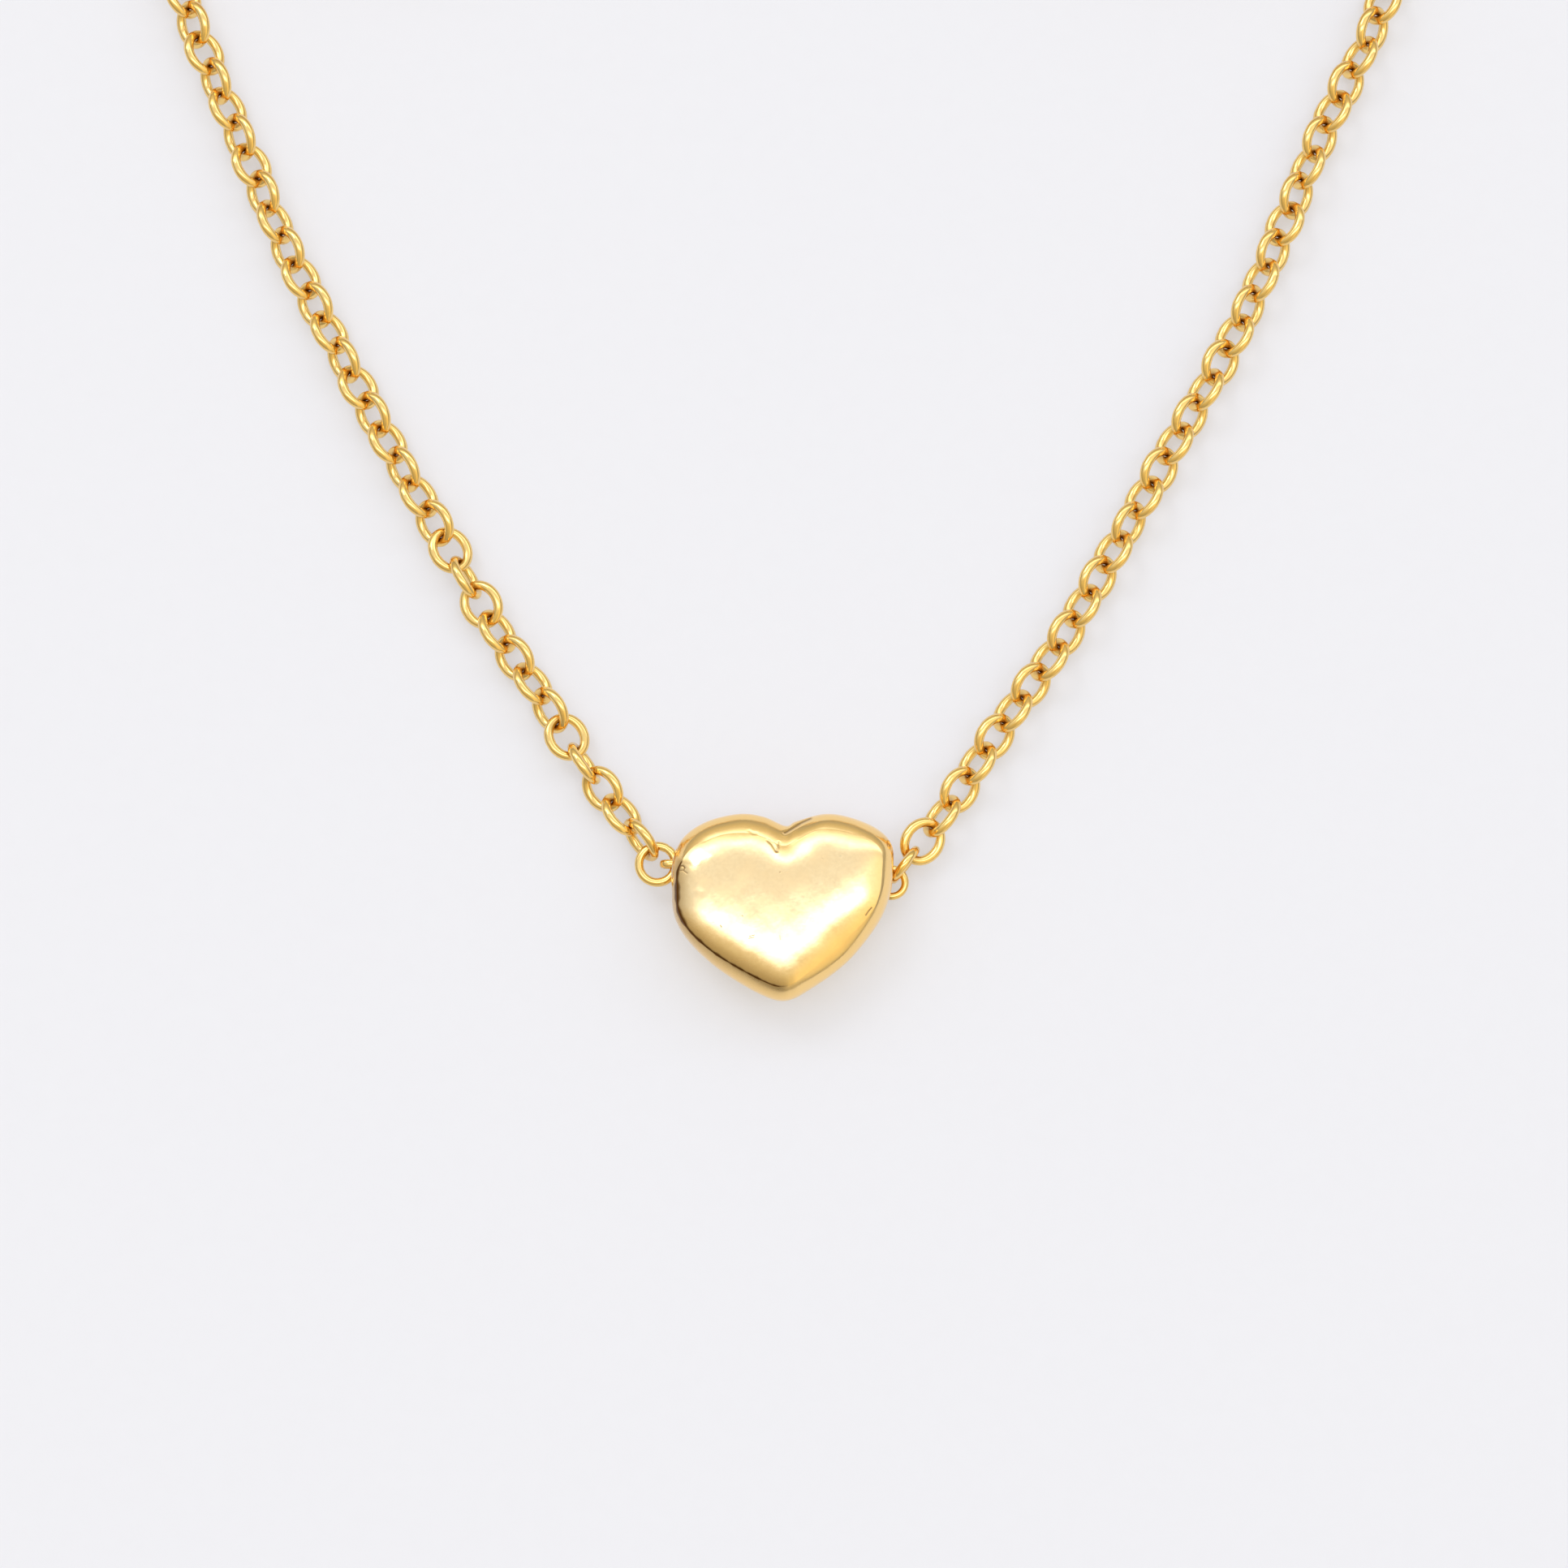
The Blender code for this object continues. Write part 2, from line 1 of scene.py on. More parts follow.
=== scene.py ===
"""A small gold heart on a fine cable chain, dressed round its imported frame.

Each sub-assembly is a class that models its pieces, dresses them in a finish and hangs them
on the frame's bodies. Everything is in metres, +Z up, with the heart's tip towards -Y.
"""

import json
import logging
from dataclasses import dataclass, field
from enum import Enum
from math import cos, pi, radians, sin

import bpy
import numpy as np
from mathutils import Matrix, Vector


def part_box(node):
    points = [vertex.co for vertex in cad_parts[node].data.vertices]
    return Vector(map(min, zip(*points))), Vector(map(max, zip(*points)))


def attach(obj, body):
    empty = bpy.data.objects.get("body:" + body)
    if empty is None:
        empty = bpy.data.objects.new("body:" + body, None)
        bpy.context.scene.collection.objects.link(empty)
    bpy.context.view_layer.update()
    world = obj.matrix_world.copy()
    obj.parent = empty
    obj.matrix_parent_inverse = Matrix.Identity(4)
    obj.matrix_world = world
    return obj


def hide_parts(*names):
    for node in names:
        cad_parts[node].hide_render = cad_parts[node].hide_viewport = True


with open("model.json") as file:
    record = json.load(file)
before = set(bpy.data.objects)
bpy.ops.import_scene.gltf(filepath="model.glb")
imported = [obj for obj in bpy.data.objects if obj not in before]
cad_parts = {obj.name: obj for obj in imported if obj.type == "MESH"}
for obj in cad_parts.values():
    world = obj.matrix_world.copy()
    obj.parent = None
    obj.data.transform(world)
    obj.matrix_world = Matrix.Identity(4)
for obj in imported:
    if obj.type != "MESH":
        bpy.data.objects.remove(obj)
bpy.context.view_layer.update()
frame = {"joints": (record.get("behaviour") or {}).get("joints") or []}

MM = 0.001
UP = Vector((0, 0, 1))

log = logging.getLogger("necklace")


class Side(Enum):
    """The two sides of the necklace, as seen from its face."""

    LEFT = -1
    RIGHT = 1

    @property
    def word(self) -> str:
        """The side's name as it stands in the frame's names."""
        return self.name.lower()


# ---------------------------------------------------------------- bench tools


def clear_bench() -> None:
    """Leaves nothing selected and no piece in edit mode."""
    if bpy.context.object is not None and bpy.context.object.mode != "OBJECT":
        bpy.ops.object.mode_set(mode="OBJECT")
    bpy.ops.object.select_all(action="DESELECT")


def take(piece: bpy.types.Object) -> None:
    """Makes a piece the only selected and active one."""
    clear_bench()
    piece.select_set(True)
    bpy.context.view_layer.objects.active = piece


def name_piece(name: str) -> bpy.types.Object:
    """Names the piece that was just made, and its mesh."""
    piece = bpy.context.object
    piece.name = name
    piece.data.name = name
    return piece


def points_of(piece: bpy.types.Object) -> np.ndarray:
    """All the points of a piece's mesh, one row each."""
    points = np.empty(len(piece.data.vertices) * 3)
    piece.data.vertices.foreach_get("co", points)
    return points.reshape(-1, 3)


def put_points(piece: bpy.types.Object, points: np.ndarray) -> None:
    """Moves a piece's points to new places."""
    piece.data.vertices.foreach_set("co", np.ascontiguousarray(points, float).ravel())
    piece.data.update()


def open_with(piece: bpy.types.Object, chosen: np.ndarray) -> None:
    """Opens a piece in edit mode with just the chosen points selected.

    Args:
        piece: the mesh to work on.
        chosen: True for each point to select.
    """
    take(piece)
    bpy.ops.object.mode_set(mode="EDIT")
    bpy.ops.mesh.select_mode(type="VERT")
    bpy.ops.mesh.select_all(action="DESELECT")
    bpy.ops.object.mode_set(mode="OBJECT")
    piece.data.vertices.foreach_set("select", np.asarray(chosen, bool))
    bpy.ops.object.mode_set(mode="EDIT")


def close_piece(piece: bpy.types.Object, angle: float = 50.0) -> bpy.types.Object:
    """Ends a piece's edit: merges doubles, faces it outwards and smooths its shading.

    Args:
        piece: the mesh to finish.
        angle: edges sharper than this many degrees stay crisp.

    Returns:
        The same piece.
    """
    take(piece)
    bpy.ops.object.mode_set(mode="EDIT")
    bpy.ops.mesh.select_all(action="SELECT")
    bpy.ops.mesh.remove_doubles(threshold=1e-7)
    bpy.ops.mesh.normals_make_consistent(inside=False)
    bpy.ops.object.mode_set(mode="OBJECT")
    bpy.ops.object.shade_smooth_by_angle(angle=radians(angle))
    clear_bench()
    return piece


def torus(name: str, radius: float, wire: float, rounds: int, sides: int) -> bpy.types.Object:
    """A ring of round wire about its own Z, at the origin.

    Args:
        name: the piece's name.
        radius: from the ring's centre to the middle of its wire.
        wire: the wire's diameter.
        rounds: how many steps go round the ring.
        sides: how many sides the wire has.

    Returns:
        The new piece.
    """
    clear_bench()
    bpy.ops.mesh.primitive_torus_add(
        major_radius=radius, minor_radius=wire / 2, major_segments=rounds,
        minor_segments=sides, location=(0, 0, 0),
    )
    return name_piece(name)


def copy_of(piece: bpy.types.Object, name: str, place: Matrix) -> bpy.types.Object:
    """A copy of a piece with its own mesh, with its place in the mesh.

    Args:
        piece: the piece to copy.
        name: the copy's name.
        place: where the copy goes.

    Returns:
        The copy.
    """
    mesh = piece.data.copy()
    mesh.name = name
    mesh.transform(place)
    twin = bpy.data.objects.new(name, mesh)
    bpy.context.scene.collection.objects.link(twin)
    return twin


def discard(piece: bpy.types.Object) -> None:
    """Removes a pattern piece that was only copied from."""
    bpy.data.objects.remove(piece)


def join(pieces: list[bpy.types.Object], name: str) -> bpy.types.Object:
    """Joins pieces into one.

    Args:
        pieces: the pieces, all at the origin.
        name: the joined piece's name.

    Returns:
        The joined piece.
    """
    clear_bench()
    for piece in pieces:
        piece.select_set(True)
    bpy.context.view_layer.objects.active = pieces[0]
    bpy.ops.object.join()
    return name_piece(name)


def settle(piece: bpy.types.Object, place: Matrix) -> bpy.types.Object:
    """Moves a piece's mesh to its place and leaves the object at the origin."""
    piece.data.transform(place)
    return piece


def hang(
    piece: bpy.types.Object, body: str, finish: bpy.types.Material, slot: str, *nodes: str
) -> bpy.types.Object:
    """Dresses a finished piece and makes it stand for its part of the frame.

    Args:
        piece: the finished piece.
        body: the frame's body that it rides on.
        finish: its material.
        slot: the record's material slot that the finish answers to; not used.
        nodes: the frame's nodes that it stands for.

    Returns:
        The same piece.
    """
    piece.data.materials.clear()
    piece.data.materials.append(finish)
    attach(piece, body)
    if nodes:
        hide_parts(*nodes)
    log.info("%s rides on %s, %d faces", piece.name, body, len(piece.data.polygons))
    return piece


def smooth_line(points: list[Vector], steps: int, closed: bool = False) -> list[Vector]:
    """Points along a smooth curve through the given ones.

    Args:
        points: the points that the curve passes through.
        steps: how many steps go from each point to the next.
        closed: whether the curve comes back to its start.

    Returns:
        The curve's points.
    """
    if closed:
        knots = [points[-1], *points, points[0], points[1]]
    else:
        knots = [2 * points[0] - points[1], *points, 2 * points[-1] - points[-2]]
    found = []
    for a, b, c, d in zip(knots, knots[1:], knots[2:], knots[3:]):
        for k in range(steps):
            t = k / steps
            bend = (2 * a - 5 * b + 4 * c - d) * t + (3 * b - a - 3 * c + d) * t * t
            found.append(0.5 * (2 * b + (c - a) * t + bend * t))
    return found if closed else [*found, knots[-2]]


def lying(along: Vector, roll: float) -> Matrix:
    """Axes of a loop: X along its length, Z its own normal.

    Args:
        along: the direction of its length.
        roll: how far it is rolled about that, in degrees, 0 lying flat.

    Returns:
        The turn, with no place.
    """
    flat = UP.cross(along).normalized()
    across = flat * cos(radians(roll)) + UP * sin(radians(roll))
    return Matrix((along, across, along.cross(across))).transposed().to_4x4()


def placed(pivot: Vector, axes: Matrix) -> Matrix:
    """A place from a point and axes."""
    return Matrix.Translation(pivot) @ axes


def joint_of(name: str) -> dict:
    """The frame's joint of this name."""
    return next(joint for joint in frame["joints"] if joint["name"] == name)


# ---------------------------------------------------------------- finishes


def node_math(
    tree: bpy.types.NodeTree, operation: str, *values: bpy.types.NodeSocket | float
) -> bpy.types.NodeSocket:
    """One sum on sockets or numbers.

    Args:
        tree: the nodes of a material or of the room.
        operation: the math node's operation.
        values: its inputs in order.

    Returns:
        The socket with the result.
    """
    node = tree.nodes.new("ShaderNodeMath")
    node.operation = operation
    for slot, value in zip(node.inputs, values):
        if isinstance(value, bpy.types.NodeSocket):
            tree.links.new(value, slot)
        else:
            slot.default_value = value
    return node.outputs["Value"]


@dataclass(frozen=True)
class Mark:
    """A small scratch or pit from one point to another, in millimetres."""

    start: tuple[float, float]
    end: tuple[float, float]
    width: float
    darkness: float


@dataclass(frozen=True)
class Gold:
    """Polished gold: mottled tone, an uneven mirror and, where a piece asks for them, painted shade
    in its hollows with some dirt in the heart's crease, a deeper gold painted on the heart's rim as
    shade, and marks.
    """

    name: str
    colour: tuple[float, float, float]
    roughness: float = 0.12
    mottle: float = 0.06
    grain_height: float = 0.0013 * MM
    hair_height: float = 0.0003 * MM
    coat: float = 0.5
    patina: tuple[float, float, float] = (0.11, 0.04, 0.006)
    has_patina: bool = False
    rim_colour: tuple[float, float, float] | None = None
    marks: tuple[Mark, ...] = ()

    def material(self) -> bpy.types.Material:
        """Makes the finish.

        Returns:
            A new material that reads the piece's own coordinates.
        """
        made = bpy.data.materials.new(self.name)
        made.use_nodes = True
        tree = made.node_tree
        nodes, links = tree.nodes, tree.links
        shader = nodes["Principled BSDF"]
        shader.inputs["Metallic"].default_value = 1.0
        if not self.has_patina:
            shader.inputs["Coat Weight"].default_value = self.coat
        shader.inputs["Coat Roughness"].default_value = 0.08
        shader.inputs["Coat IOR"].default_value = 1.6
        where = nodes.new("ShaderNodeTexCoord").outputs["Object"]
        cloud = self._spread(tree, self._noise(tree, where, 1500, 5))
        speck = self._spread(tree, self._noise(tree, where, 8000, 3))
        tone = self._mix(tree, self._dim(1.0), self._dim(1 - self.mottle), cloud)
        colour = self._mix(tree, tone, self._dim(1 - 1.6 * self.mottle), speck, 0.5)
        rough = nodes.new("ShaderNodeMapRange")
        rough.inputs["To Min"].default_value = self.roughness * 0.75
        rough.inputs["To Max"].default_value = self.roughness * 1.35
        links.new(cloud, rough.inputs["Value"])
        polish = rough.outputs["Result"]
        scars = self._scars(tree, where)
        # Painted shade: the heart's rim and back take a deeper gold that stands in for the darker
        # reflection they show.
        if self.rim_colour is not None:
            colour = self._mix(
                tree, colour, (*self.rim_colour, 1), self._attribute(tree, "rim")
            )
        # Painted shade: the darker mix stands in for the shade in the chain's hooks, by the right
        # eye's wall and in the heart's solder crease, where there is some dirt as well; the dents and
        # marks are darker too.
        if self.has_patina:
            darkened = self._attribute(tree, "patina")
            if scars is not None:
                darkened = node_math(tree, "MAXIMUM", darkened, scars)
            colour = self._mix(tree, colour, (*self.patina, 1), darkened)
            polish = node_math(tree, "MULTIPLY_ADD", darkened, 0.25, polish)
            clear = node_math(tree, "MULTIPLY_ADD", darkened, -self.coat, self.coat)
            tree.nodes[-1].use_clamp = True
            links.new(clear, shader.inputs["Coat Weight"])
        links.new(colour, shader.inputs["Base Color"])
        links.new(polish, shader.inputs["Roughness"])
        links.new(self._surface(tree, where, scars), shader.inputs["Normal"])
        return made

    def _dim(self, share: float) -> tuple[float, float, float, float]:
        """The gold's colour, dimmed and a little warmer."""
        r, g, b = self.colour
        return (r * share, g * share**1.6, b * share**2.4, 1)

    @staticmethod
    def _attribute(tree: bpy.types.NodeTree, name: str) -> bpy.types.NodeSocket:
        """The value that a piece's own points carry under this name."""
        node = tree.nodes.new("ShaderNodeAttribute")
        node.attribute_name = name
        return node.outputs["Fac"]

    @staticmethod
    def _noise(
        tree: bpy.types.NodeTree, where: bpy.types.NodeSocket, scale: float, detail: float
    ) -> bpy.types.NodeSocket:
        """A cloud of values round 0.5.

        Args:
            tree: the material's nodes.
            where: the coordinates that it reads.
            scale: how many clouds there are to a metre.
            detail: how many finer layers it has.

        Returns:
            The socket with the values.
        """
        noise = tree.nodes.new("ShaderNodeTexNoise")
        noise.inputs["Scale"].default_value = scale
        noise.inputs["Detail"].default_value = detail
        tree.links.new(where, noise.inputs["Vector"])
        return noise.outputs["Fac"]

    @staticmethod
    def _mix(
        tree: bpy.types.NodeTree, first: bpy.types.NodeSocket | tuple, second: tuple,
        share: bpy.types.NodeSocket, most: float = 1.0,
    ) -> bpy.types.NodeSocket:
        """Mixes a second colour into a first.

        Args:
            tree: the material's nodes.
            first: the colour, or the socket that carries it.
            second: the colour to mix in.
            share: the socket with how much of it.
            most: how much of it there is where the share is 1.

        Returns:
            The socket with the mixed colour.
        """
        node = tree.nodes.new("ShaderNodeMix")
        node.data_type = "RGBA"
        if isinstance(first, bpy.types.NodeSocket):
            tree.links.new(first, node.inputs["A"])
        else:
            node.inputs["A"].default_value = first
        node.inputs["B"].default_value = second
        if most < 1:
            share = node_math(tree, "MULTIPLY", share, most)
        tree.links.new(share, node.inputs["Factor"])
        return node.outputs["Result"]

    @staticmethod
    def _spread(tree: bpy.types.NodeTree, cloud: bpy.types.NodeSocket) -> bpy.types.NodeSocket:
        """Stretches a cloud's middle values over the whole way from 0 to 1."""
        node = tree.nodes.new("ShaderNodeMapRange")
        tree.links.new(cloud, node.inputs["Value"])
        node.inputs["From Min"].default_value = 0.36
        node.inputs["From Max"].default_value = 0.64
        return node.outputs["Result"]

    def _scars(
        self, tree: bpy.types.NodeTree, where: bpy.types.NodeSocket
    ) -> bpy.types.NodeSocket | None:
        """How near each point of the face is to one of the marks, from 0 to 1.

        Args:
            tree: the material's nodes.
            where: the piece's own coordinates.

        Returns:
            The socket, or None where the finish has no marks.
        """
        deepest = None
        split = tree.nodes.new("ShaderNodeSeparateXYZ")
        tree.links.new(where, split.inputs["Vector"])
        for mark in self.marks:
            (x0, y0), (x1, y1) = mark.start, mark.end
            dx, dy = (x1 - x0) * MM, (y1 - y0) * MM
            long = dx * dx + dy * dy
            x = node_math(tree, "SUBTRACT", split.outputs["X"], x0 * MM)
            y = node_math(tree, "SUBTRACT", split.outputs["Y"], y0 * MM)
            along = node_math(tree, "MULTIPLY", x, dx / long)
            along = node_math(tree, "MULTIPLY_ADD", y, dy / long, along)
            tree.nodes[-1].use_clamp = True
            x = node_math(tree, "MULTIPLY_ADD", along, -dx, x)
            y = node_math(tree, "MULTIPLY_ADD", along, -dy, y)
            square = node_math(tree, "MULTIPLY", x, x)
            square = node_math(tree, "MULTIPLY_ADD", y, y, square)
            near = node_math(tree, "MULTIPLY", square, -1 / (mark.width * MM) ** 2)
            near = node_math(tree, "EXPONENT", near)
            near = node_math(tree, "MULTIPLY", near, mark.darkness)
            deepest = near if deepest is None else node_math(tree, "MAXIMUM", deepest, near)
        return deepest

    def _surface(
        self, tree: bpy.types.NodeTree, where: bpy.types.NodeSocket,
        scars: bpy.types.NodeSocket | None,
    ) -> bpy.types.NodeSocket:
        """The uneven mirror that the polishing left.

        Args:
            tree: the material's nodes.
            where: the piece's own coordinates.
            scars: the socket with the marks, or None.

        Returns:
            The socket with the surface's direction.
        """
        nodes, links = tree.nodes, tree.links
        layers = [
            (self._noise(tree, where, 2300, 2), self.grain_height * 1.6),
            (self._noise(tree, where, 6500, 3), self.grain_height),
        ]
        for turn in (0.5, 2.2):
            lay = nodes.new("ShaderNodeMapping")
            lay.inputs["Rotation"].default_value = (0.3, 0.2, turn)
            lay.inputs["Scale"].default_value = (1.0, 7.0, 7.0)
            links.new(where, lay.inputs["Vector"])
            hairs = self._noise(tree, lay.outputs["Vector"], 1800, 3)
            layers.append((hairs, self.hair_height))
        if scars is not None:
            layers.append((scars, -0.006 * MM))
        last = None
        for height, deep in layers:
            bump = nodes.new("ShaderNodeBump")
            bump.inputs["Strength"].default_value = 1.0
            bump.inputs["Distance"].default_value = abs(deep)
            bump.invert = deep < 0
            links.new(height, bump.inputs["Height"])
            if last is not None:
                links.new(last, bump.inputs["Normal"])
            last = bump.outputs["Normal"]
        return last


HEART_MARKS = (
    Mark((-3.70, 1.33), (-3.65, 1.40), 0.045, 0.8),
    Mark((-3.65, 1.40), (-3.56, 1.40), 0.045, 0.9),
    Mark((-3.56, 1.40), (-3.50, 1.32), 0.045, 0.9),
    Mark((-3.50, 1.32), (-3.54, 1.24), 0.045, 0.8),
    Mark((-3.54, 1.24), (-3.68, 1.23), 0.042, 0.7),
    Mark((-3.54, 1.22), (-3.42, 1.13), 0.040, 0.7),
    Mark((-0.12, 1.15), (-0.10, 1.15), 0.024, 0.7),
    Mark((0.10, 1.16), (0.14, 1.17), 0.014, 0.4),
    Mark((-2.22, -0.76), (-2.19, -0.81), 0.020, 0.6),
    Mark((-1.45, -0.38), (-1.43, -0.41), 0.016, 0.5),
    Mark((-1.20, -1.14), (-1.02, -1.09), 0.011, 0.5),
    Mark((-1.22, -1.21), (-1.03, -1.17), 0.011, 0.5),
    Mark((-0.12, -1.10), (-0.10, -1.24), 0.012, 0.4),
    Mark((1.36, 1.66), (1.44, 1.62), 0.016, 0.3),
    Mark((2.02, 1.73), (2.05, 1.72), 0.016, 0.2),
    Mark((2.94, -0.36), (3.02, -0.24), 0.030, 0.7),
    Mark((3.02, -0.24), (3.14, -0.10), 0.028, 0.8),
)


@dataclass(frozen=True)
class Paper:
    """Smooth white card with a faint tooth."""

    name: str = "white_card"
    colour: tuple[float, float, float] = (0.466, 0.468, 0.496)
    # The card glows a little: painted light that lifts the shadows on it.
    glow: float = 0.35

    def material(self) -> bpy.types.Material:
        """Makes the finish."""
        made = bpy.data.materials.new(self.name)
        made.use_nodes = True
        nodes, links = made.node_tree.nodes, made.node_tree.links
        shader = nodes["Principled BSDF"]
        shader.inputs["Roughness"].default_value = 0.9
        shader.inputs["Specular IOR Level"].default_value = 0.1
        shader.inputs["Emission Color"].default_value = (1.0, 0.99, 1.0, 1)
        shader.inputs["Emission Strength"].default_value = self.glow
        where = nodes.new("ShaderNodeTexCoord")
        fibre = nodes.new("ShaderNodeTexNoise")
        fibre.inputs["Scale"].default_value = 1500
        fibre.inputs["Detail"].default_value = 6
        links.new(where.outputs["Object"], fibre.inputs["Vector"])
        shade = nodes.new("ShaderNodeMix")
        shade.data_type = "RGBA"
        r, g, b = self.colour
        shade.inputs["A"].default_value = (r * 0.985, g * 0.985, b * 0.985, 1)
        shade.inputs["B"].default_value = (r * 1.015, g * 1.015, b * 1.015, 1)
        links.new(fibre.outputs["Fac"], shade.inputs["Factor"])
        links.new(shade.outputs["Result"], shader.inputs["Base Color"])
        bump = nodes.new("ShaderNodeBump")
        bump.inputs["Strength"].default_value = 0.35
        bump.inputs["Distance"].default_value = 0.01 * MM
        links.new(fibre.outputs["Fac"], bump.inputs["Height"])
        links.new(bump.outputs["Normal"], shader.inputs["Normal"])
        return made


# ---------------------------------------------------------------- chain


@dataclass
class Gauge:
    """The chain's sizes, shared by every link."""

    link_length: float = 1.805 * MM
    link_width: float = 1.56 * MM
    wire: float = 0.31 * MM
    play: float = 0.03 * MM
    height: float = 0.83 * MM
    chain_width: float = 1.55 * MM

    @property
    def pitch(self) -> float:
        """How far apart two hooked links sit."""
        return self.link_length - 2 * self.wire - self.play

    @property
    def reach(self) -> float:
        """From the wire that a link hangs on to the link's centre."""
        return (self.link_length - self.wire) / 2 - self.wire - self.play


@dataclass
class LinkPattern:
    """One cable link: an oval of round wire, soldered in one long side, with painted shade in its
    hooks.
    """

    gauge: Gauge = field(default_factory=Gauge)
    rounds: int = 44
    sides: int = 14
    fullness: float = 1.07
    belly: float = 1.20
    seam: float = 0.95
    grime: float = 0.48

    def make(self, name: str) -> bpy.types.Object:
        """Models the link about its own centre, long along X.

        Args:
            name: the pattern's name.

        Returns:
            The link.
        """
        size = self.gauge
        radius = (size.link_width - size.wire) / 2
        stretch = (size.link_length - size.wire) / 2 / radius
        piece = torus(name, radius, size.wire * self.fullness, self.rounds, self.sides)
        points = points_of(piece)
        way = points[:, :2] / np.linalg.norm(points[:, :2], axis=1)[:, None]
        middle = way * radius
        off = points[:, :2] - middle
        inwards = -(off * way).sum(axis=1) / (size.wire * self.fullness / 2)
        swell = 1 + (self.belly / self.fullness - 1) * (1 - way[:, 0] ** 2)
        off *= swell[:, None]
        points[:, 2] *= swell
        at_seam = (abs(way[:, 0]) < 0.08) & (way[:, 1] > 0)
        off[at_seam] *= self.seam
        points[at_seam, 2] *= self.seam
        points[:, :2] = middle * (stretch, 1) + off
        put_points(piece, points)
        # Painted shade: the inner side of each end, where the next links hook in, is darkened.
        darkened = np.clip((abs(way[:, 0]) - 0.72) / 0.2, 0, 1) * np.clip(inwards + 0.45, 0, 1)
        shade = piece.data.attributes.new("patina", "FLOAT", "POINT")
        shade.data.foreach_set("value", (darkened * self.grime).astype(np.float32))
        return close_piece(piece, 80)


@dataclass
class Chain:
    """One side's chain: ten loose links, then all the rest of it, wound away at its end."""

    side: Side
    route_mm: tuple[tuple[float, float], ...]
    rolls: tuple[float, ...]
    gauge: Gauge = field(default_factory=Gauge)
    loose: int = 10
    fine_links: int = 34
    coil_radius: float = 11.0 * MM
    coil_step: float = 1.6 * MM
    coil_turns: int = 3
    coil_x: float = 15.0 * MM
    coil_y: float = 46.0 * MM
    tube_gap: float = 0.3 * MM
    tail_way: tuple[float, float] = (0.6, 0.8)

    def coil_point(self, turned: float) -> Vector:
        """A point of the coil after this many turns inwards."""
        angle = pi - 2 * pi * turned
        radius = self.coil_radius - self.coil_step * turned
        x = self.side.value * (self.coil_x - radius * cos(angle))
        return Vector((x, self.coil_y + radius * sin(angle), self.gauge.height))

    def route(self) -> list[Vector]:
        """The chain's line from its jump ring to where its coil starts."""
        points = [Vector((x * MM, y * MM, self.gauge.height)) for x, y in self.route_mm]
        points += [self.coil_point(0), self.coil_point(0.05)]
        return smooth_line(points, 24)

    def start(self) -> Vector:
        """Where the jump ring's wire carries the first link."""
        return Vector(joint_of(f"{self.side.word}_link_01_swing")["pos_m"])

    def tail(self) -> tuple[Vector, Vector]:
        """The pivot and the direction of the last link, inside the coil."""
        size = self.gauge
        way = Vector((-self.side.value * self.tail_way[0], -self.tail_way[1], 0)).normalized()
        wall = self.coil_radius - self.coil_step * self.coil_turns - self.gauge.chain_width / 2
        radius = wall - self.tube_gap - 1.5 * size.wire - size.play
        centre = Vector((self.side.value * self.coil_x, self.coil_y, size.height))
        return centre - way * radius, way

    def hooks(self) -> tuple[list[Vector], float]:
        """Where the links hook into each other, the loose ones first.

        Returns:
            The hooks, and the length of chain after the loose links.
        """
        line, here = self.route(), self.start()
        found, ahead = [here], 0
        while len(found) <= self.loose:
            while (line[ahead] - here).length < self.gauge.pitch or line[ahead].y < here.y:
                ahead += 1
            here = here + (line[ahead] - here).normalized() * self.gauge.pitch
            found.append(here)
        while line[ahead].y < here.y + self.gauge.pitch:
            ahead += 1
        rest = [found[-1], *line[ahead:-24]]
        turns = np.linspace(0, self.coil_turns, 72 * self.coil_turns + 1)
        rest += [self.coil_point(turn) for turn in turns[1:]]
        rest += self.inward(rest[-1], rest[-1] - rest[-2])
        return self._evened(found, rest)

    def inward(self, start: Vector, heading: Vector) -> list[Vector]:
        """The short turn from the coil's inner end to the last link.

        Args:
            start: the coil's inner end.
            heading: the direction that the chain has there.

        Returns:
            The turn's points, without its start.
        """
        end, way = self.tail()
        first = start + heading.normalized() * 4.2 * MM
        last = end - way * 3.4 * MM
        found = []
        for k in range(1, 41):
            t = k / 40
            s = 1 - t
            found.append(s**3 * start + 3 * s * s * t * first + 3 * s * t * t * last + t**3 * end)
        return found

    def _evened(self, found: list[Vector], rest: list[Vector]) -> tuple[list[Vector], float]:
        """Spreads hooks evenly over the line after the loose links.

        Args:
            found: the loose links' hooks.
            rest: the line from the last of them to the end.

        Returns:
            All the hooks, and the line's length.
        """
        line = np.array([tuple(p) for p in rest])
        gone = np.concatenate(([0], np.cumsum(np.linalg.norm(np.diff(line, axis=0), axis=1))))
        count = round(gone[-1] / self.gauge.pitch)
        at = np.linspace(0, gone[-1], count + 1)[1:]
        spread = np.stack([np.interp(at, gone, line[:, axis]) for axis in range(3)], axis=1)
        return [*found, *(Vector(p) for p in spread)], float(gone[-1])

    def roll(self, k: int) -> float:
        """How link k lies, counted from 0 at the heart, in degrees."""
        if k < len(self.rolls):
            return self.rolls[k]
        lean = 44 if k % 2 == (0 if self.side is Side.RIGHT else 1) else -48
        return lean + 5 * sin(1.7 * k) + 3 * sin(0.6 * k + 1)

    def link_place(self, start: Vector, end: Vector, roll: float) -> Matrix:
        """Where a link goes that hooks from one point towards the next."""
        axes = lying((end - start).normalized(), roll)
        return placed(start, axes) @ Matrix.Translation((self.gauge.reach, 0, 0))

